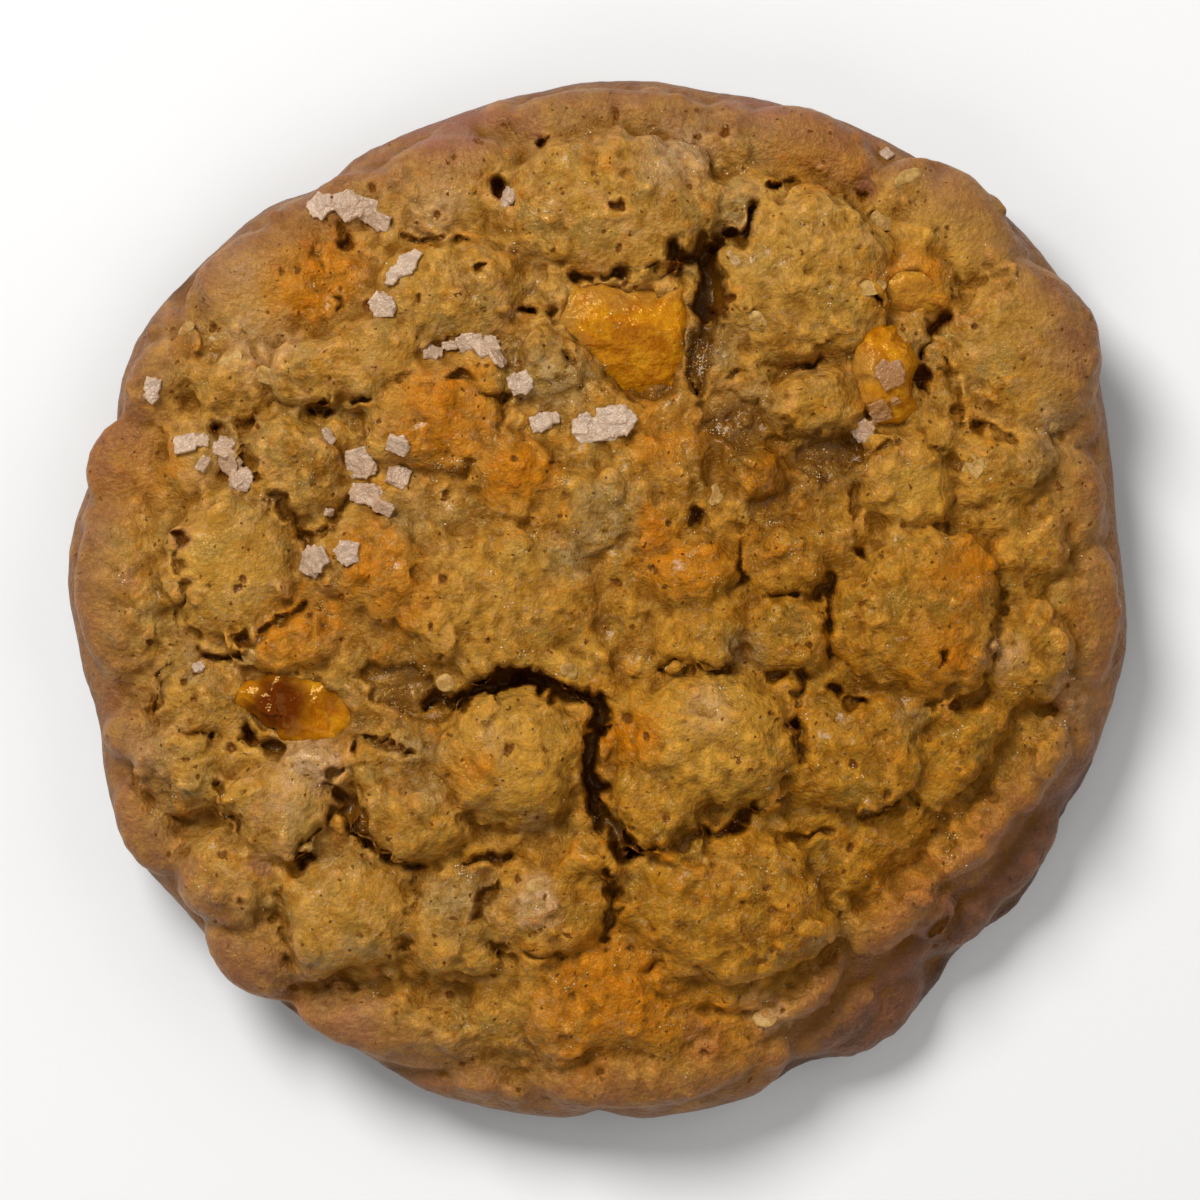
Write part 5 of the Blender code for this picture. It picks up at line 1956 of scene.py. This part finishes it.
# %% Scatter the sugar
SUGAR_TRIES = 56000
SUGAR_LOWEST = 6.0
CHIP_SUGAR_TRIES = 700
CHIP_SUGAR_LOWEST = 9.0
SUGAR_THRESHOLD = 0.54
SUGAR_PATTERNS = [(0.6, 3.0, 5.0), (0.8, 0.8, 9.0)]
GLISTEN_GAIN = 0.45
GLISTEN_REACH = 1.5
GLISTENING = [
    (10.2, 13.6, 2.0),
    (8.6, 19.0, 2.4),
    (17.5, 10.9, 2.2),
    (15.0, 4.2, 1.4),
    (8.2, 3.2, 2.8),
    (2.0, 20.4, 4.4),
    (-15.2, -8.0, 2.6),
    (-15.6, -4.6, 1.4),
    (-4.0, -8.0, 1.6),
    (-1.2, -4.6, 2.0),
    (-7.0, 5.0, 3.0),
    (-11.0, 10.6, 1.8),
    (-11.4, -24.0, 2.6),
    (-4.8, -23.6, 1.8),
    (-13.0, 31.6, 2.4),
    (6.0, 35.6, 3.4),
    (11.3, 31.2, 1.6),
    (24.8, -9.3, 1.4),
    (32.0, -4.6, 2.0),
    (38.2, -7.8, 2.2),
    (31.0, -16.2, 1.4),
    (20.0, -14.4, 1.8),
    (13.2, -23.4, 1.6),
    (12.0, -20.4, 3.0),
    (27.6, -21.4, 2.4),
    (-1.6, -30.6, 2.6),
    (13.2, -33.2, 2.0),
    (-22.6, -12.8, 2.4),
    (17.0, 24.0, 3.0),
    (36.0, 13.8, 1.6),
    (29.6, 10.2, 1.4),
    (8.6, -8.6, 2.4),
]
SUGAR_SIZES = (0.04, 0.11)
SUGAR_WIDTHS = (0.5, 1.0)
SUGAR_FLATNESS = 0.5
SUGAR_TILT = 30
# The pale end is a painted glint.
SUGAR_GLINT_PALE = (0.80, 0.62, 0.38, 1.0)
SUGAR_DIM = (0.42, 0.27, 0.10, 1.0)
GRAIN_FACES = 20


def clustering(x, y):
    """How likely sugar is at a place in plan."""
    cluster = 0.0
    for gain, grain, level in SUGAR_PATTERNS:
        cluster += gain * plan_noise(x, y, grain, level)
    for spot_x, spot_y, radius in GLISTENING:
        away = math.hypot(x - spot_x, y - spot_y) / (GLISTEN_REACH * radius)
        cluster += GLISTEN_GAIN * max(0.0, 1 - away)
    return cluster


def make_sugar():
    bpy.ops.mesh.primitive_ico_sphere_add(subdivisions=1, radius=1.0)
    grain = bpy.context.object
    draw = random.Random(SEED + 40)
    frames = []
    spots = list(zip(*surface_spots(dough, SUGAR_TRIES, SEED + 41, SUGAR_LOWEST)))
    spots += list(zip(*surface_spots(chips["chip_centre"], CHIP_SUGAR_TRIES, SEED + 42, CHIP_SUGAR_LOWEST)))
    for place, way in spots:
        if clustering(place[0], place[1]) < SUGAR_THRESHOLD or past_crust(place[None, :2])[0] > 0:
            continue
        size = draw.uniform(*SUGAR_SIZES)
        stretch = Matrix.Diagonal((size, size * draw.uniform(*SUGAR_WIDTHS), size * SUGAR_FLATNESS))
        lay = laid_on(way, draw.uniform(0, 360), draw.uniform(-SUGAR_TILT, SUGAR_TILT))
        frames.append((lay @ stretch, place))
    sugar_and_glints = copies(grain, frames, "sugar_grains_and_glints")
    bpy.data.objects.remove(grain)
    return sugar_and_glints


def sugar_material():
    material, tree, shader = new_material("sugar_and_glints", roughness=0.2)
    place = millimetres(tree)
    # The grains' pale colour is a painted glint, bright from every side; they are also glossy.
    bright = blotches(tree, place, per_mm=2.2, low=0.48, high=0.60, detail=1.0, rough=0.55)
    tree.links.new(blend(tree, bright, SUGAR_DIM, SUGAR_GLINT_PALE), shader.inputs["Base Color"])
    return material


sugar_and_glints = make_sugar()
finish_piece(sugar_and_glints, sugar_material())
print(triangle_count(sugar_and_glints) // GRAIN_FACES, "grains of sugar,", triangle_count(sugar_and_glints), "triangles")

# %% [markdown]
# ## Oats that lie loose
#
# A few rolled oats stand out pale on the dough. Each is a thin lens that lies where the real cookie has one,
# dented by noise, and together they are one piece. An oat is x, y, length, width and turn.

# %% Table of oats
OATS = [
    (-12.3, -6.6, 1.5, 1.4, 20),
    (29.6, 10.6, 2.4, 1.8, 70),
    (21.5, 24.8, 2.7, 1.5, 10),
    (-29.5, 19.0, 2.4, 1.6, 30),
    (-26.6, 17.8, 2.8, 1.4, -15),
    (24.6, 33.6, 2.6, 1.5, 25),
    (22.6, 30.2, 2.5, 1.5, -20),
    (-27.8, -4.6, 2.0, 1.3, 15),
    (36.0, 13.8, 1.7, 1.3, 40),
    (13.2, -33.2, 2.0, 1.6, 0),
    (-21.5, -20.8, 1.6, 1.2, 50),
    (-2.4, -5.6, 1.6, 1.2, -30),
    (9.2, 8.4, 2.0, 1.3, 60),
    (-5.0, -22.6, 1.8, 1.3, 10),
    (12.4, 22.0, 2.2, 1.4, -50),
    (-33.0, 21.6, 1.8, 1.2, 10),
]

# %% Oats
OAT_REST = 0.3
OAT_THICKNESS = 0.34
OAT_TILT = 14
OAT_SINK = 0.06
DENT_GRAIN = 1.3
DENT_HEIGHT = 0.55
OAT_PALE = (0.54, 0.32, 0.09, 1.0)
OAT_TAN = (0.36, 0.18, 0.036, 1.0)


def make_oats():
    bpy.ops.mesh.primitive_ico_sphere_add(subdivisions=4, radius=0.5)
    lens = bpy.context.object
    draw = random.Random(SEED + 60)
    frames = []
    for x, y, length, width, turn in OATS:
        middle, way = rest_on(x, y, OAT_REST * length)
        stretch = Matrix.Diagonal((length, width, OAT_THICKNESS))
        shape = laid_on(way, turn, draw.uniform(-OAT_TILT, OAT_TILT)) @ stretch
        frames.append((shape, middle - OAT_SINK * way))
    oats = copies(lens, frames, "oats")
    bpy.data.objects.remove(lens)
    displace(oats, "dents", DENT_GRAIN, DENT_HEIGHT)
    apply_modifiers(oats)
    return oats


def oat_material():
    material, tree, shader = new_material("oat", roughness=0.45, specular=0.30)
    place = millimetres(tree)
    height, speckle = use_grain(tree, per_mm=2.6)
    dim = blotches(tree, place, per_mm=0.9, low=0.38, high=0.62)
    colour = blend(tree, dim, OAT_PALE, OAT_TAN)
    colour = blend(tree, speckle, times_colour(tree, colour, 0.9), times_colour(tree, colour, 1.1))
    tree.links.new(colour, shader.inputs["Base Color"])
    bump(tree, shader, height, millimetres_high=0.16)
    scatter_light(shader, weight=0.3, radius=(1.0, 0.5, 0.2), millimetres_deep=0.6)
    return material


oats = make_oats()
finish_piece(oats, oat_material())
print(len(OATS), "oats,", triangle_count(oats), "triangles")
